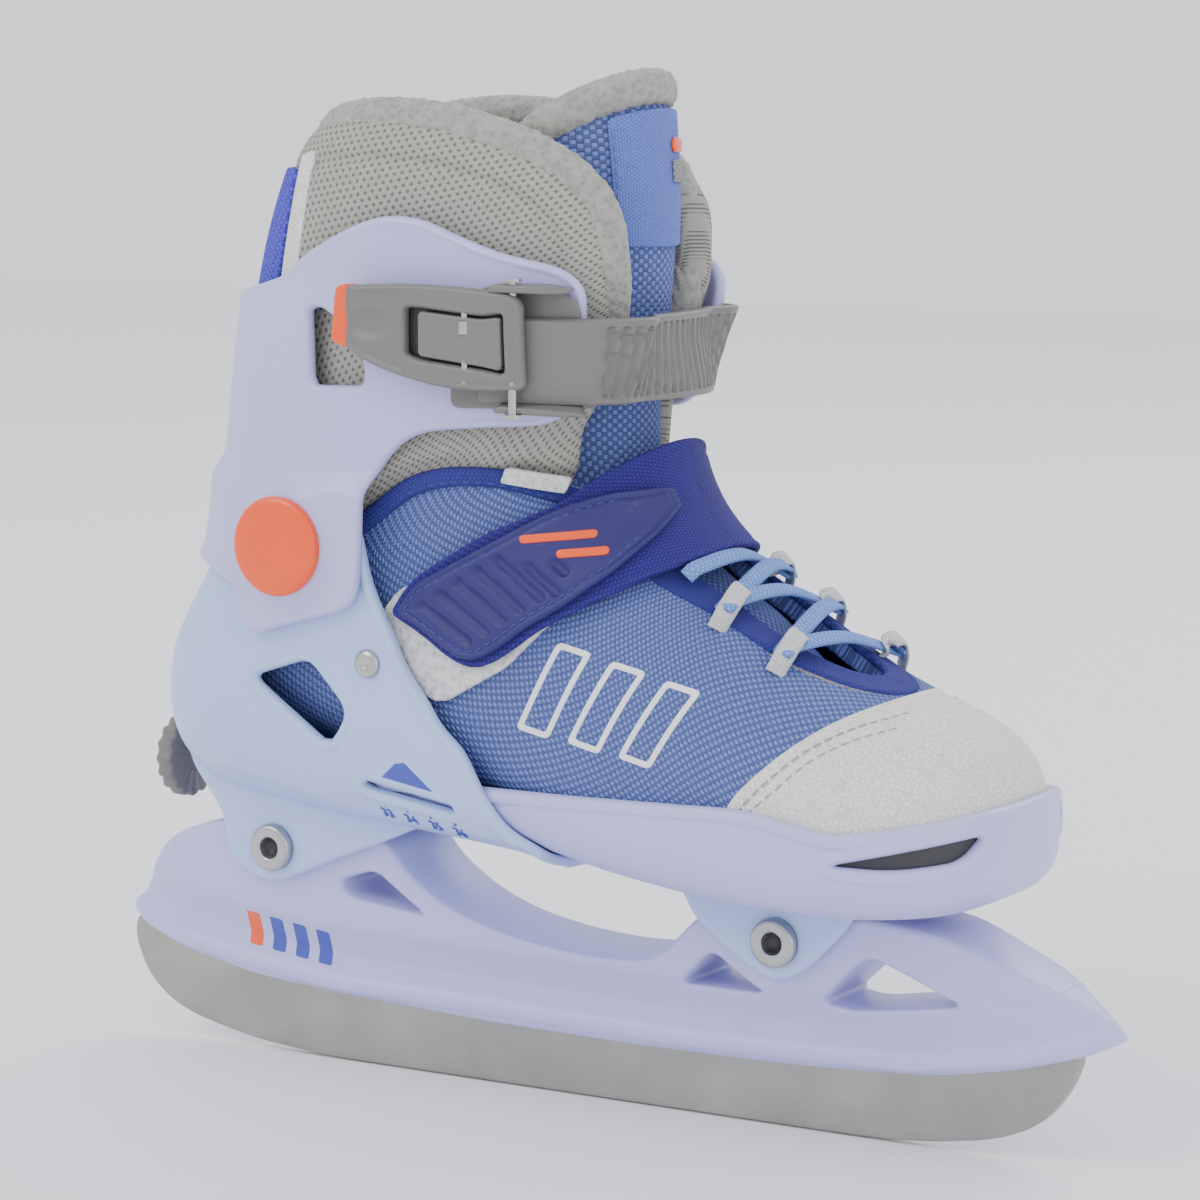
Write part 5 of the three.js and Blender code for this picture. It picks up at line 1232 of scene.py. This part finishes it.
def eyestay_and_lace(plan_throat):
    """Binding round the throat, and one lace that zigzags over it through five folded loops."""
    outline = Region(mirrored(EYESTAY_HALF), 6, axes=(0, 1))
    region = without(both(outline, higher_than(96), lambda p, n: EYESTAY_BACK - p[:, 0]), plan_throat)
    stay = boot_sheet("eyestay_tape", region, -0.8, 0.9, kind="sole", span=(2.5, 9.5), angles=(-1.3, 1.3),
                      edge=0.7, step=1.2, relief=lambda p, n, f: 0.3 * np.exp(-((f + 1.2) / 1.0) ** 2))
    settle(stay, "piping", blend="toe", replaces=["eyestay"])
    path = []
    for i, s in enumerate(LACE_STATIONS):
        side = LACE_ANGLE if i % 2 else -LACE_ANGLE
        path += [off_boot(s, side, 4.6, "sole")[0], off_boot(s + 0.07, side * 1.25, 3.4, "sole")[0]]
        if i + 1 < len(LACE_STATIONS):
            path.append(off_boot(s + 0.24, 0.0, 4.4 + 0.8 * (i % 2), "sole")[0])
    run = curve_through(np.array(path), 260)
    lace = swept("flat_lace", run, np.array([0.55, 0, 0.83]), ellipse(4.4, 1.5, 14, 2.6))
    settle(lace, "lace_cord", blend="toe", replaces=["lace"])
    for i, s in enumerate(LACE_STATIONS[:-1]):
        side = LACE_ANGLE * 1.15 if i % 2 else -LACE_ANGLE * 1.15
        a = off_boot(s + 0.03, side * 1.30, 0.6, "sole")[0]
        b = off_boot(s + 0.05, side * 0.78, 1.0, "sole")[0]
        over_lace = [a + (b - a) * share + LOOP_RISE * rise
                     for share, rise in ((0, 0), (0.2, 0.9), (0.6, 1.55), (1, 1.1), (1, 0.3), (1, 0))]
        loop = curve_through(np.array(over_lace), 40)
        tab = swept(f"lace_loop_webbing_{i + 1}", loop, np.array([0.6, 0, 0.8]), ellipse(5.0, 1.0, 14, 3))
        settle(tab, "thread_white", blend="toe", replaces=[f"lace_loop_{i + 1}"])


def on_tongue(v, w):
    """Tongue surface: v runs from its toe end to its top, w across it; the sides fall back in an arc."""
    line = curve_through(TONGUE, TONGUE_ROWS)
    rows = np.arange(TONGUE_ROWS)
    at = np.clip(v, 0, 1) * rows[-1]
    values = np.stack([np.interp(at, rows, line[:, k]) for k in range(4)], 1)
    slope = np.gradient(line[:, :2], axis=0)
    slope /= np.linalg.norm(slope, axis=1)[:, None]
    tangent = np.stack([np.interp(at, rows, slope[:, k]) for k in range(2)], 1)
    out = np.stack([tangent[:, 1], 0 * at, -tangent[:, 0]], 1)
    out *= np.sign(out[:, :1] + 1e-9)
    angle = w * TONGUE_ARC
    drop, half = values[:, 3], values[:, 2]
    p = np.stack([values[:, 0], half * np.sin(angle), values[:, 1]], 1)
    p -= out * (drop * (1 - np.cos(angle)))[:, None]
    n = out * (half * np.cos(angle))[:, None]
    n[:, 1] += drop * np.sin(angle)
    return p, n / np.linalg.norm(n, axis=1)[:, None]


def tongue_top(w):
    """The tongue's end is an arch: v of its edge falls off to both sides."""
    return 1 - 0.068 * np.abs(w) ** 2.3


def tongue_part(name, v_span, w_span, inner, outer, edge, step=1.4, relief=None):
    """Rectangle of the tongue's surface as a padded plate."""
    (v0, v1), (w0, w1) = v_span, w_span
    rows = int((v1 - v0) * TONGUE_LENGTH / step) + 3
    columns = int((w1 - w0) * TONGUE_HALF / step) + 3
    spare = 0.02
    grid = lattice(np.linspace(v0 - spare * (v0 > 0.01), min(v1 + spare, 1), rows),
                   np.linspace(w0 - spare, w1 + spare, columns))

    def field(q):
        """Distance to the rectangle's nearest side; a full-length piece stays open to its ends."""
        ends = np.maximum(v0 - q[:, 0], q[:, 0] - v1 * tongue_top(q[:, 1])) * TONGUE_LENGTH
        sides = np.maximum(w0 - q[:, 1], q[:, 1] - w1) * (TONGUE_HALF + 1)
        return np.maximum(ends, sides)

    return sheet(name, on_tongue, grid, None, inner, outer, edge=edge, relief=relief, field_of=field,
                 uv_of=lambda q: np.stack([q[:, 1] * TONGUE_HALF, q[:, 0] * TONGUE_LENGTH], 1))


LABEL_TOP = 4.4  # height of the label over the tongue


def tongue():
    """The padded tongue with its label and plush top."""
    pad = tongue_part("tongue_padding", (0.0, 1.0), (-1.0, 1.0), -3, 2.4, 2.4,
                      relief=lambda p, n, f: 0.9 * smooth(-f, 1, 8))
    settle(pad, "woven_mesh", blend="tongue", replaces=["tongue"])
    label = tongue_part("tongue_label_patch", (0.80, 0.985), (-0.46, 0.46), 3.1, LABEL_TOP, 0.7, step=1.2)
    settle(label, "label_fabric", blend="tongue", replaces=["tongue_label"])
    bars = (("orange_plastic", "orange_plastic", (0.925, 0.945)),
            ("grey_cloth", "padded_mesh", (0.885, 0.915)))
    for i, (look, slot, span) in enumerate(bars):
        tag = tongue_part(f"label_bar_{i + 1}", span, (0.02, 0.24), LABEL_TOP, LABEL_TOP + 0.8, 0.3, step=0.6)
        settle(tag, look, blend="tongue")
    v = np.linspace(0.81, 0.96, 60)
    rows = []
    for edge in (-0.43, 0.43):
        seam, normals = on_tongue(v, np.full(len(v), edge))
        rows.append((seam + normals * LABEL_TOP, normals))
    settle(stitches("label_stitches", rows, 2.0, 0.9, 0.45), "thread_pale", blend="tongue")
    w = np.linspace(-1.0, 1.0, 90)
    path, normals = on_tongue(0.995 * tongue_top(w), w)
    path[:, 2] += 3.4
    roll = swept("tongue_plush_roll", path, normals, ellipse(9.0, 9.0, 26, 2.2),
                 scale=np.clip(1.3 - np.abs(w) ** 8, 0.35, 1.0))
    roughened(roll, 0.45)
    settle(roll, "plush", blend="tongue", replaces=["tongue_roll"])


# ------------------------------------------------------------------ instep strap
STRAP_OUTLINE = [
    (-37, 122.4, 2), (-31, 131, 5), (-12, 142.6, 4), (6, 150.6, 4), (14, 157.5, 4), (30, 169, 2),
    (50, 150, 2), (38, 139, 3), (27, 133, 5), (14, 126, 6), (4, 120.5, 5), (-2, 115.6, 4), (-9, 111.6, 4),
    (-14, 110.9, 4), (-20, 113, 5), (-27, 117.6, 5),
]
PANEL_OUTLINE = [
    (-34, 123, 2), (-29.5, 130, 4), (-11, 140, 4), (5, 149, 4), (16, 153.6, 4), (27, 154.6, 3),
    (29.5, 150, 3), (28.6, 143.6, 3), (22.8, 135.6, 4), (12, 127.2, 4), (2.5, 121.5, 4), (-3.5, 116.8, 4),
    (-9.5, 113.5, 4), (-14, 112.9, 4), (-19, 114.8, 5), (-26, 119.2, 4),
]
LONG_SLOTS = [((-26.0 + 5.0 * i, 125.6 + 3.0 * i), (-12.4 + 4.7 * i, 117.6 + 2.9 * i)) for i in range(5)]
PANEL_SLOTS = LONG_SLOTS + [((2.2, 136.2), (10.2, 130.6)), ((8.6, 137.4), (11.4, 135.4))]
PANEL_SEAM = [
    (-31.5, 123.6), (-28, 128.4), (-10.6, 137.8), (5.6, 146.9), (16.4, 151.4), (25.4, 152.2), (27, 149.4),
    (26, 144), (21, 137.2), (11, 129.2), (1.6, 123.6), (-4.4, 119), (-10, 115.6), (-14, 115.1),
    (-18.6, 117), (-25.5, 121), (-31.5, 123.6),
]
PANEL_BARS = [
    [(-1, 143.4), (17, 145.4), (17.4, 143.4), (-0.6, 141.4)],
    [(8.6, 140.4), (20.4, 141.6), (20.8, 139.6), (9, 138.4)],
]
ANCHOR_LINE = [(-47, 112), (-40.5, 123.6), (-36.2, 121.9), (-26.2, 118), (-19.2, 113.7), (-14.2, 111.7),
               (-31, 92)]
LOOP_PAD_LINE = [
    (-42, 121, 2), (-36, 128, 2), (-10, 140), (10, 146), (12, 128), (-4.5, 111.5, 2), (-23.5, 101, 3),
    (-29, 103, 3),
]
PANEL_LOW, PANEL_TOP = 4.9, 6.6


def strap():
    """Instep strap over the boot, the moulded panel on its free end, and what it is held by."""
    whole = boot_sheet("instep_strap_webbing", Region(STRAP_OUTLINE), 2.8, 4.7, kind="sole", span=(5.5, 12.2),
                       angles=(-2.0, 2.0), edge=0.7, step=1.2,
                       relief=lambda p, n, f: -0.35 * np.exp(-((f + 2.4) / 0.7) ** 2))
    settle(whole, "strap_webbing", blend="flap", replaces=["instep_strap", "strap_flap"])
    panel_region = both(Region(PANEL_OUTLINE), one_side(OUTER_SIDE, -11))

    def relief(p, n, field):
        """Slots pressed into the panel, a stitched channel round it and a soft crown."""
        pressed = np.zeros(len(p))
        for start, end in PANEL_SLOTS:
            a, way = np.array(start), np.array(end) - np.array(start)
            q = p[:, [0, 2]] - a
            share = np.clip(q @ way / (way @ way), 0, 1)
            away = np.linalg.norm(q - share[:, None] * way, axis=1)
            pressed = np.maximum(pressed, 1 - smooth(away, 0.75, 1.35))
        return 0.3 - 1.0 * pressed - 0.35 * np.exp(-((field + 1.9) / 0.5) ** 2)

    panel = boot_sheet("strap_panel_moulding", panel_region, PANEL_LOW, PANEL_TOP, kind="sole",
                       span=(6, 12.2), angles=(0.1, 2.0), edge=0.8, step=0.55, levels=(1.4, 1.9, 2.4),
                       relief=relief)
    settle(panel, "strap_rubber", "strap_flap", replaces=["strap_panel"])
    for i, line in enumerate(PANEL_BARS):
        bar = boot_sheet(f"strap_bar_{i + 1}", Region(line, 0.9), PANEL_TOP - 0.1, PANEL_TOP + 0.7,
                         kind="sole", span=(6, 12.2), angles=(0.1, 1.8), edge=0.35, step=0.6)
        settle(bar, "orange_plastic", "strap_flap")
    anchor = boot_sheet("strap_anchor_webbing", both(Region(ANCHOR_LINE, 1), one_side(INNER_SIDE)), 0.6, 2.2,
                        kind="sole", span=(7, 12.2), angles=(-2.4, -0.4), edge=0.5, step=1.6)
    settle(anchor, "strap_webbing", "base", replaces=["strap_anchor"])
    pad = boot_sheet("strap_loop_strip", both(Region(LOOP_PAD_LINE), one_side(OUTER_SIDE)), 0.3, 2.3,
                     kind="sole", span=(7, 12.2), angles=(0.2, 2.3), edge=0.6, step=1.4)
    settle(pad, "loop_fabric", "base", replaces=["strap_loop_pad"])


# ------------------------------------------------------------------ ratchet buckle
LEVER_OUTLINE = [
    (-42.5, 202, 3), (-24, 203, 8), (-9, 202.5, 6), (4, 201.3, 3), (7, 199.5, 2), (7, 178.6, 2), (-5, 178, 5),
    (-17, 179, 6), (-30, 182, 6), (-38, 185, 4), (-44, 189.5, 3), (-45.5, 193.5, 3),
]
LEVER_WINDOW = [
    (-24.3, 186.3, 1), (-24.3, 197.3, 1), (-20.5, 197.3, 1), (-3, 195.7, 2), (2.2, 196.6, 1), (2.2, 182.4, 1),
    (-3, 183.4, 2), (-20.5, 185.2, 1),
]
THUMB_DISH = [
    (-41.4, 193), (-38.5, 196.6), (-34, 197.4), (-29, 196.4), (-26.8, 193), (-29.4, 190), (-34, 189.2),
    (-38.8, 190),
]
TIP_LINE = [(-45.6, 188.5, 1), (-44.3, 202, 2), (-40.5, 202.4, 1), (-40.5, 187, 1)]
# outline of the dark plate of painted shade under the lever's window
LEVER_SHADE_LINE = [(-26, 184, 1), (-26, 199, 1), (3, 198, 1), (3, 181, 1)]
PAWL_LINE = [
    (-20.6, 186, 1), (-20.6, 196.6, 1), (-3, 195.1, 2), (1.7, 195.9, 0.5), (1.7, 183.1, 0.5), (-3, 184, 2),
]
BAND_LINE = [(-60, 175.2), (-60, 195.4), (60, 195.4), (60, 175.2)]
RIB_PERIOD, RIB_GIRTH = 3.1, 62  # millimetres to a rib, and to a radian of the strap's girth
FRAME_OUTLINE = [(-16, 173.5, 2), (-16, 198.5, 3), (-3, 203.4, 3), (12, 203.4, 2), (17.4, 198.6, 2),
                 (17.4, 174, 2)]


def buckle():
    """Ratchet buckle: base plate with two ears, lever with its pawl, a dark plate of painted shade under the
    lever's window, and the ribbed strap it pulls.
    """
    frame_region = both(Region(FRAME_OUTLINE), one_side(OUTER_SIDE))
    plate = boot_sheet("buckle_base_plate", frame_region, FRAME_IN, FRAME_OUT, span=(9.5, 16.5),
                       angles=(0.15, 2.2), edge=0.6, step=1.0)
    settle(plate, "grey_plastic", "cuff", replaces=["buckle_frame"])
    for i, (low, top) in enumerate(((201.4, 203.3), (173.7, 175.3))):
        ear_region = Region([(-2, low, 0.5), (-1, top, 0.5), (9.5, top, 2), (17, top - 0.6, 2),
                             (17, low, 0.5)])
        ear = boot_sheet(f"buckle_ear_{i + 1}", both(ear_region, one_side(OUTER_SIDE)), FRAME_IN,
                         lambda p: LEVER_OUT - 6.0 * smooth(p[:, 0], 9.5, 18), span=(9.5, 16.5),
                         angles=(0.15, 1.9), edge=0.6, step=0.8)
        settle(ear, "grey_plastic", "cuff")
    thumb = Region(THUMB_DISH, 2)

    def lever_relief(p, n, field):
        """Oval thumb dish, a side wall along the rim and a raised bar before the hinge."""
        dish = -1.0 * smooth(-thumb(p, n), -0.8, 2.2)
        wall = 0.5 * (1 - smooth(-field, 1.2, 1.8)) * (p[:, 0] > -40)
        step_up = 0.4 * smooth(p[:, 0], -25.5, -24.4) * (1 - smooth(p[:, 0], 2, 6))
        return dish + np.maximum(wall, step_up * smooth(p[:, 2], 179, 181))

    lever_region = both(without(Region(LEVER_OUTLINE), Region(LEVER_WINDOW)), one_side(OUTER_SIDE))
    lever = boot_sheet("buckle_lever_moulding", lever_region, LEVER_IN, LEVER_OUT - 0.3, span=(10.5, 16.5),
                       angles=(0.2, 2.4), edge=0.9, step=0.7, levels=(1.2, 1.8), relief=lever_relief)
    settle(lever, "grey_plastic", "lever", replaces=["buckle_lever"])
    tip = boot_sheet("lever_tip_insert", both(Region(TIP_LINE), one_side(OUTER_SIDE)), LEVER_IN - 2.2,
                     LEVER_OUT - 0.2, span=(11, 16), angles=(0.8, 2.4), edge=0.8, step=0.6)
    settle(tip, "orange_plastic", "lever", replaces=["lever_tip"])
    # painted shade: a dark plate under the lever's window stands for the shade below the pawl
    floor = boot_sheet("lever_window_shade_plate", both(Region(LEVER_SHADE_LINE), one_side(OUTER_SIDE)), LEVER_IN - 0.9,
                       LEVER_IN - 0.2, span=(10.5, 16), angles=(0.4, 2.2), edge=0.2, step=1.0)
    settle(floor, "dark_plastic", "lever")
    pawl = boot_sheet("release_pawl_moulding", both(Region(PAWL_LINE), one_side(OUTER_SIDE)), LEVER_IN,
                      LEVER_OUT - 0.1, span=(10.5, 16), angles=(0.4, 2.0), edge=0.6, step=0.7)
    settle(pawl, "grey_plastic", "pawl", replaces=["release_pawl"])
    band = both(Region(BAND_LINE, 1), lambda p, n: np.where(p[:, 1] < 0, -7, -18) - p[:, 0])

    def sink(p):
        """Off the frame the strap comes down to the cuff, and past the cuff's edge towards the tongue."""
        front = 3.7 + 4.3 * smooth(p[:, 2], 175, 195)
        return 1.7 * smooth(p[:, 1], -15, 20) + front * (1 - smooth(np.abs(p[:, 1]), 15, 24))

    def teeth(p, n, field):
        """Grooves across the strap every 3 mm of girth, inside a plain rim and past the plain sleeve."""
        phase = np.mod(np.arctan2(p[:, 1], p[:, 0] + 30) * RIB_GIRTH / RIB_PERIOD, 1)
        groove = 1 - smooth(np.abs(phase - 0.5), 0.19, 0.28)
        past = smooth(p[:, 0] + 0.6 * p[:, 1], 0.2, 0.9)
        return -1.3 * groove * smooth(-field, 1.5, 2.0) * past + 0.5 * (1 - past)

    ladder = boot_sheet("ladder_strap_moulding", band, lambda p: STRAP_IN - sink(p),
                        lambda p: STRAP_OUT - sink(p), span=(8.5, 16.5), angles=(-2.6, 2.0), edge=0.6,
                        step=0.6, levels=(1.6, 2.2), relief=teeth)
    settle(ladder, "grey_plastic", "cuff", replaces=["ladder_strap"])


# ------------------------------------------------------------------ printed marks and stitched seams
def decal(name, outline, distance, look, body, kind="shell", span=(7, 13), step=1.0):
    """Thin patch on the outer side that follows the layer below it: a print, or a dark patch of painted
    shade.
    """
    low = distance - 0.05
    patch = boot_sheet(name, both(Region(outline, 0.6), one_side(OUTER_SIDE)), low, low + 0.16, kind=kind,
                       span=span, angles=(0.05, 3.1), edge=0.06, step=step)
    return settle(patch, look, body)


def flat_mark(name, outline, look):
    """Thin printed patch on the holder's outer flank."""
    x, z = np.array(outline).T
    box = (x.min() - 1, x.max() + 1, z.min() - 1, z.max() + 1)
    patch = flat_sheet(name, Region(outline, 0.5), lambda p: holder_half(p) - 0.3,
                       lambda p: holder_half(p) + 0.12, box, step=0.7, edge=0.06)
    return settle(patch, look, "base")


# outline of the dark patch of painted shade seen through the toe vent
VENT_PAINTED_SHADE = [(82, 72), (83, 76), (98, 79), (115, 82.5), (114, 73.5), (98, 70.5)]
PULL_TAB = [(-8.5, 155.2), (-7, 159), (7.5, 156.8), (6.2, 152.8)]
SIZE_MARK = [(-41.5, 80.6), (-33, 87.4), (-22.8, 78.9)]
SIZE_PLACES = [(-42, 74.3), (-35, 73.4), (-27.5, 72.5), (-20.3, 71.6)]
FIRST_SIZE, NUMBER_DROP, NUMBER_HEIGHT, NUMBER_SLOPE = 33, 3.4, 3.6, 0.13
DOT_HALF = 0.6
SLASH_LINE_WIDTH = 1.5


def marks():
    """A dark patch of painted shade behind the toe vent, the pull tab, the size marks, and plain bars and
    slashes.
    """
    # painted shade: a dark plate under the toe shell's vent stands for the shade inside the opening
    decal("toe_vent_painted_shade", VENT_PAINTED_SHADE, 0.9, "dark_plastic", "toe_half", kind="sole", span=(0, 6))
    tab = boot_sheet("ankle_pull_tab", both(Region(PULL_TAB, 0.6), one_side(OUTER_SIDE)), 1.2, 3.0,
                     kind="sole", span=(7, 13), angles=(0.1, 1.8), edge=0.4, step=0.8)
    settle(tab, "loop_fabric", "base")
    decal("size_triangle", SIZE_MARK, BASE_OUT, "blue_plastic", "base")
    for i, (x, z) in enumerate(SIZE_PLACES):
        dot = [(x + DOT_HALF * dx, z + DOT_HALF * dz) for dx, dz in ((-1, -1), (-1, 1), (1, 1), (1, -1))]
        decal(f"size_dot_{i + 1}", dot, BASE_OUT, "blue_plastic", "base", step=0.5)
        text_on_shell(f"size_number_{i + 1}", str(FIRST_SIZE + i), x, z - NUMBER_DROP)
    for i in range(4):
        x0 = -101 + 7.2 * i
        z0 = 28.6 - 0.9 * i
        bar = [(x0, z0), (x0 + 1.6, z0 + 9.5), (x0 + 5.6, z0 + 9.0), (x0 + 4.0, z0 - 0.5)]
        look = "orange_plastic" if i == 0 else "blue_plastic"
        flat_mark(f"holder_bar_{i + 1}", bar, look)
    for i in range(3):
        shift = 15 * i
        outline = [(-2 + shift, 97 - 2 * i), (9 + shift, 118.5 - 3.4 * i), (18.5 + shift, 116.5 - 3.4 * i),
                   (7.5 + shift, 95.2 - 2 * i)]
        full = Region(outline, 1.5)
        ring = both(full, lambda p, n, full=full: -SLASH_LINE_WIDTH - full(p, n))
        patch = boot_sheet(f"upper_slash_{i + 1}", both(ring, one_side(OUTER_SIDE)), 0.1, 0.75, kind="sole",
                           span=(4.5, 10.5), angles=(0.3, 2.4), edge=0.2, step=0.6)
        settle(patch, "white_plastic", "base")


def text_on_shell(name, text, x, z):
    """Small raised number, made a mesh and wrapped on the base wing."""
    data = bpy.data.curves.new(name, "FONT")
    data.body, data.size, data.align_x = text, NUMBER_HEIGHT, "CENTER"
    data.resolution_u = 3
    made = bpy.data.objects.new(name, data)
    bpy.context.scene.collection.objects.link(made)
    bpy.context.view_layer.update()
    flat = bpy.data.meshes.new_from_object(made)
    bpy.data.objects.remove(made)
    co = np.empty(len(flat.vertices) * 3)
    flat.vertices.foreach_get("co", co)
    across, up = co.reshape(-1, 3)[:, :2].T
    s, a = place_at(np.stack([x + across, z + up - NUMBER_SLOPE * across], 1), BASE_OUT)
    points = off_boot(s, a, BASE_OUT + 0.12)
    flat.vertices.foreach_set("co", (points * MM).ravel())
    flat.update()
    obj = bpy.data.objects.new(name, flat)
    bpy.context.scene.collection.objects.link(obj)
    thick = obj.modifiers.new("thick", "SOLIDIFY")
    thick.thickness = 0.0003
    thick.offset = 0
    settle(obj, "blue_plastic", "base")


def seams():
    """Rows of stitches on the toe cap and round the strap's panel."""
    rows = []
    for inset in (2.6, 5.2):
        line = [(58.5 + inset, 83), (65.5 + inset * 0.8, 92 - inset * 0.7),
                (74 + inset * 0.7, 100 - inset * 0.75), (82 + inset * 0.5, 105 - inset * 0.9),
                (90 + inset * 0.3, 107.6 - inset * 0.95)]
        for side in (OUTER_SIDE, INNER_SIDE):
            rows.append(line_on_boot(line, 0.6, side, "sole", 80))
    settle(stitches("toe_cap_stitches", rows, 2.1, 0.8, 0.5, 0.2), "thread_white", "toe_half")
    rows = [line_on_boot(eased(PANEL_SEAM, 2.5), PANEL_TOP - 0.05, OUTER_SIDE, "sole", smooth_line=False)]
    thread = stitches("strap_panel_stitches", rows, 1.9, 0.9, 0.45, 0.2)
    settle(thread, "thread_blue", "strap_flap")


# ------------------------------------------------------------------ floor, light and camera
def stage():
    """Pale floor, even sky and three soft lamps."""
    bpy.ops.mesh.primitive_plane_add(size=6, location=(0, 0, -0.0005))
    floor = bpy.context.active_object
    floor.name = "studio_floor"
    pale = bpy.data.materials.new("studio_floor")
    pale.use_nodes = True
    shader = pale.node_tree.nodes["Principled BSDF"]
    shader.inputs["Base Color"].default_value = (0.93, 0.93, 0.94, 1)
    shader.inputs["Roughness"].default_value = 0.6
    floor.data.materials.append(pale)
    world = bpy.data.worlds.new("studio")
    bpy.context.scene.world = world
    world.use_nodes = True
    sky = world.node_tree.nodes["Background"]
    sky.inputs["Color"].default_value = (0.93, 0.95, 1.0, 1)
    sky.inputs["Strength"].default_value = 1.3
    lamps = (("key", (-0.9, -1.3, 1.6), 1.2, 18), ("fill", (1.5, -0.9, 0.8), 1.4, 8),
             ("back", (0.2, 1.5, 1.4), 1.2, 10))
    for name, place, size, power in lamps:
        data = bpy.data.lights.new(name, "AREA")
        data.size, data.energy = size, power
        lamp = bpy.data.objects.new(name, data)
        lamp.location = place
        lamp.rotation_euler = (Vector((0, 0, 0.12)) - Vector(place)).to_track_quat("-Z", "Y").to_euler()
        bpy.context.scene.collection.objects.link(lamp)


def camera():
    """The studio camera: 31 degrees round to the toe side, 7.5 degrees up, a metre away."""
    azimuth, elevation, reach = math.radians(31), math.radians(7.5), 1.0
    target = Vector((0, 0, 0.124))
    level = math.cos(elevation)
    away = Vector((math.sin(azimuth) * level, -math.cos(azimuth) * level, math.sin(elevation)))
    data = bpy.data.cameras.new("camera")
    data.sensor_width = 36
    data.lens = 122.6
    made = bpy.data.objects.new("camera", data)
    made.location = target + away * reach
    made.rotation_euler = (-away).to_track_quat("-Z", "Y").to_euler()
    bpy.context.scene.collection.objects.link(made)
    bpy.context.scene.camera = made


stage()
camera()
holder_and_blade()
shells()
fittings()
uppers()
buckle()
marks()
seams()
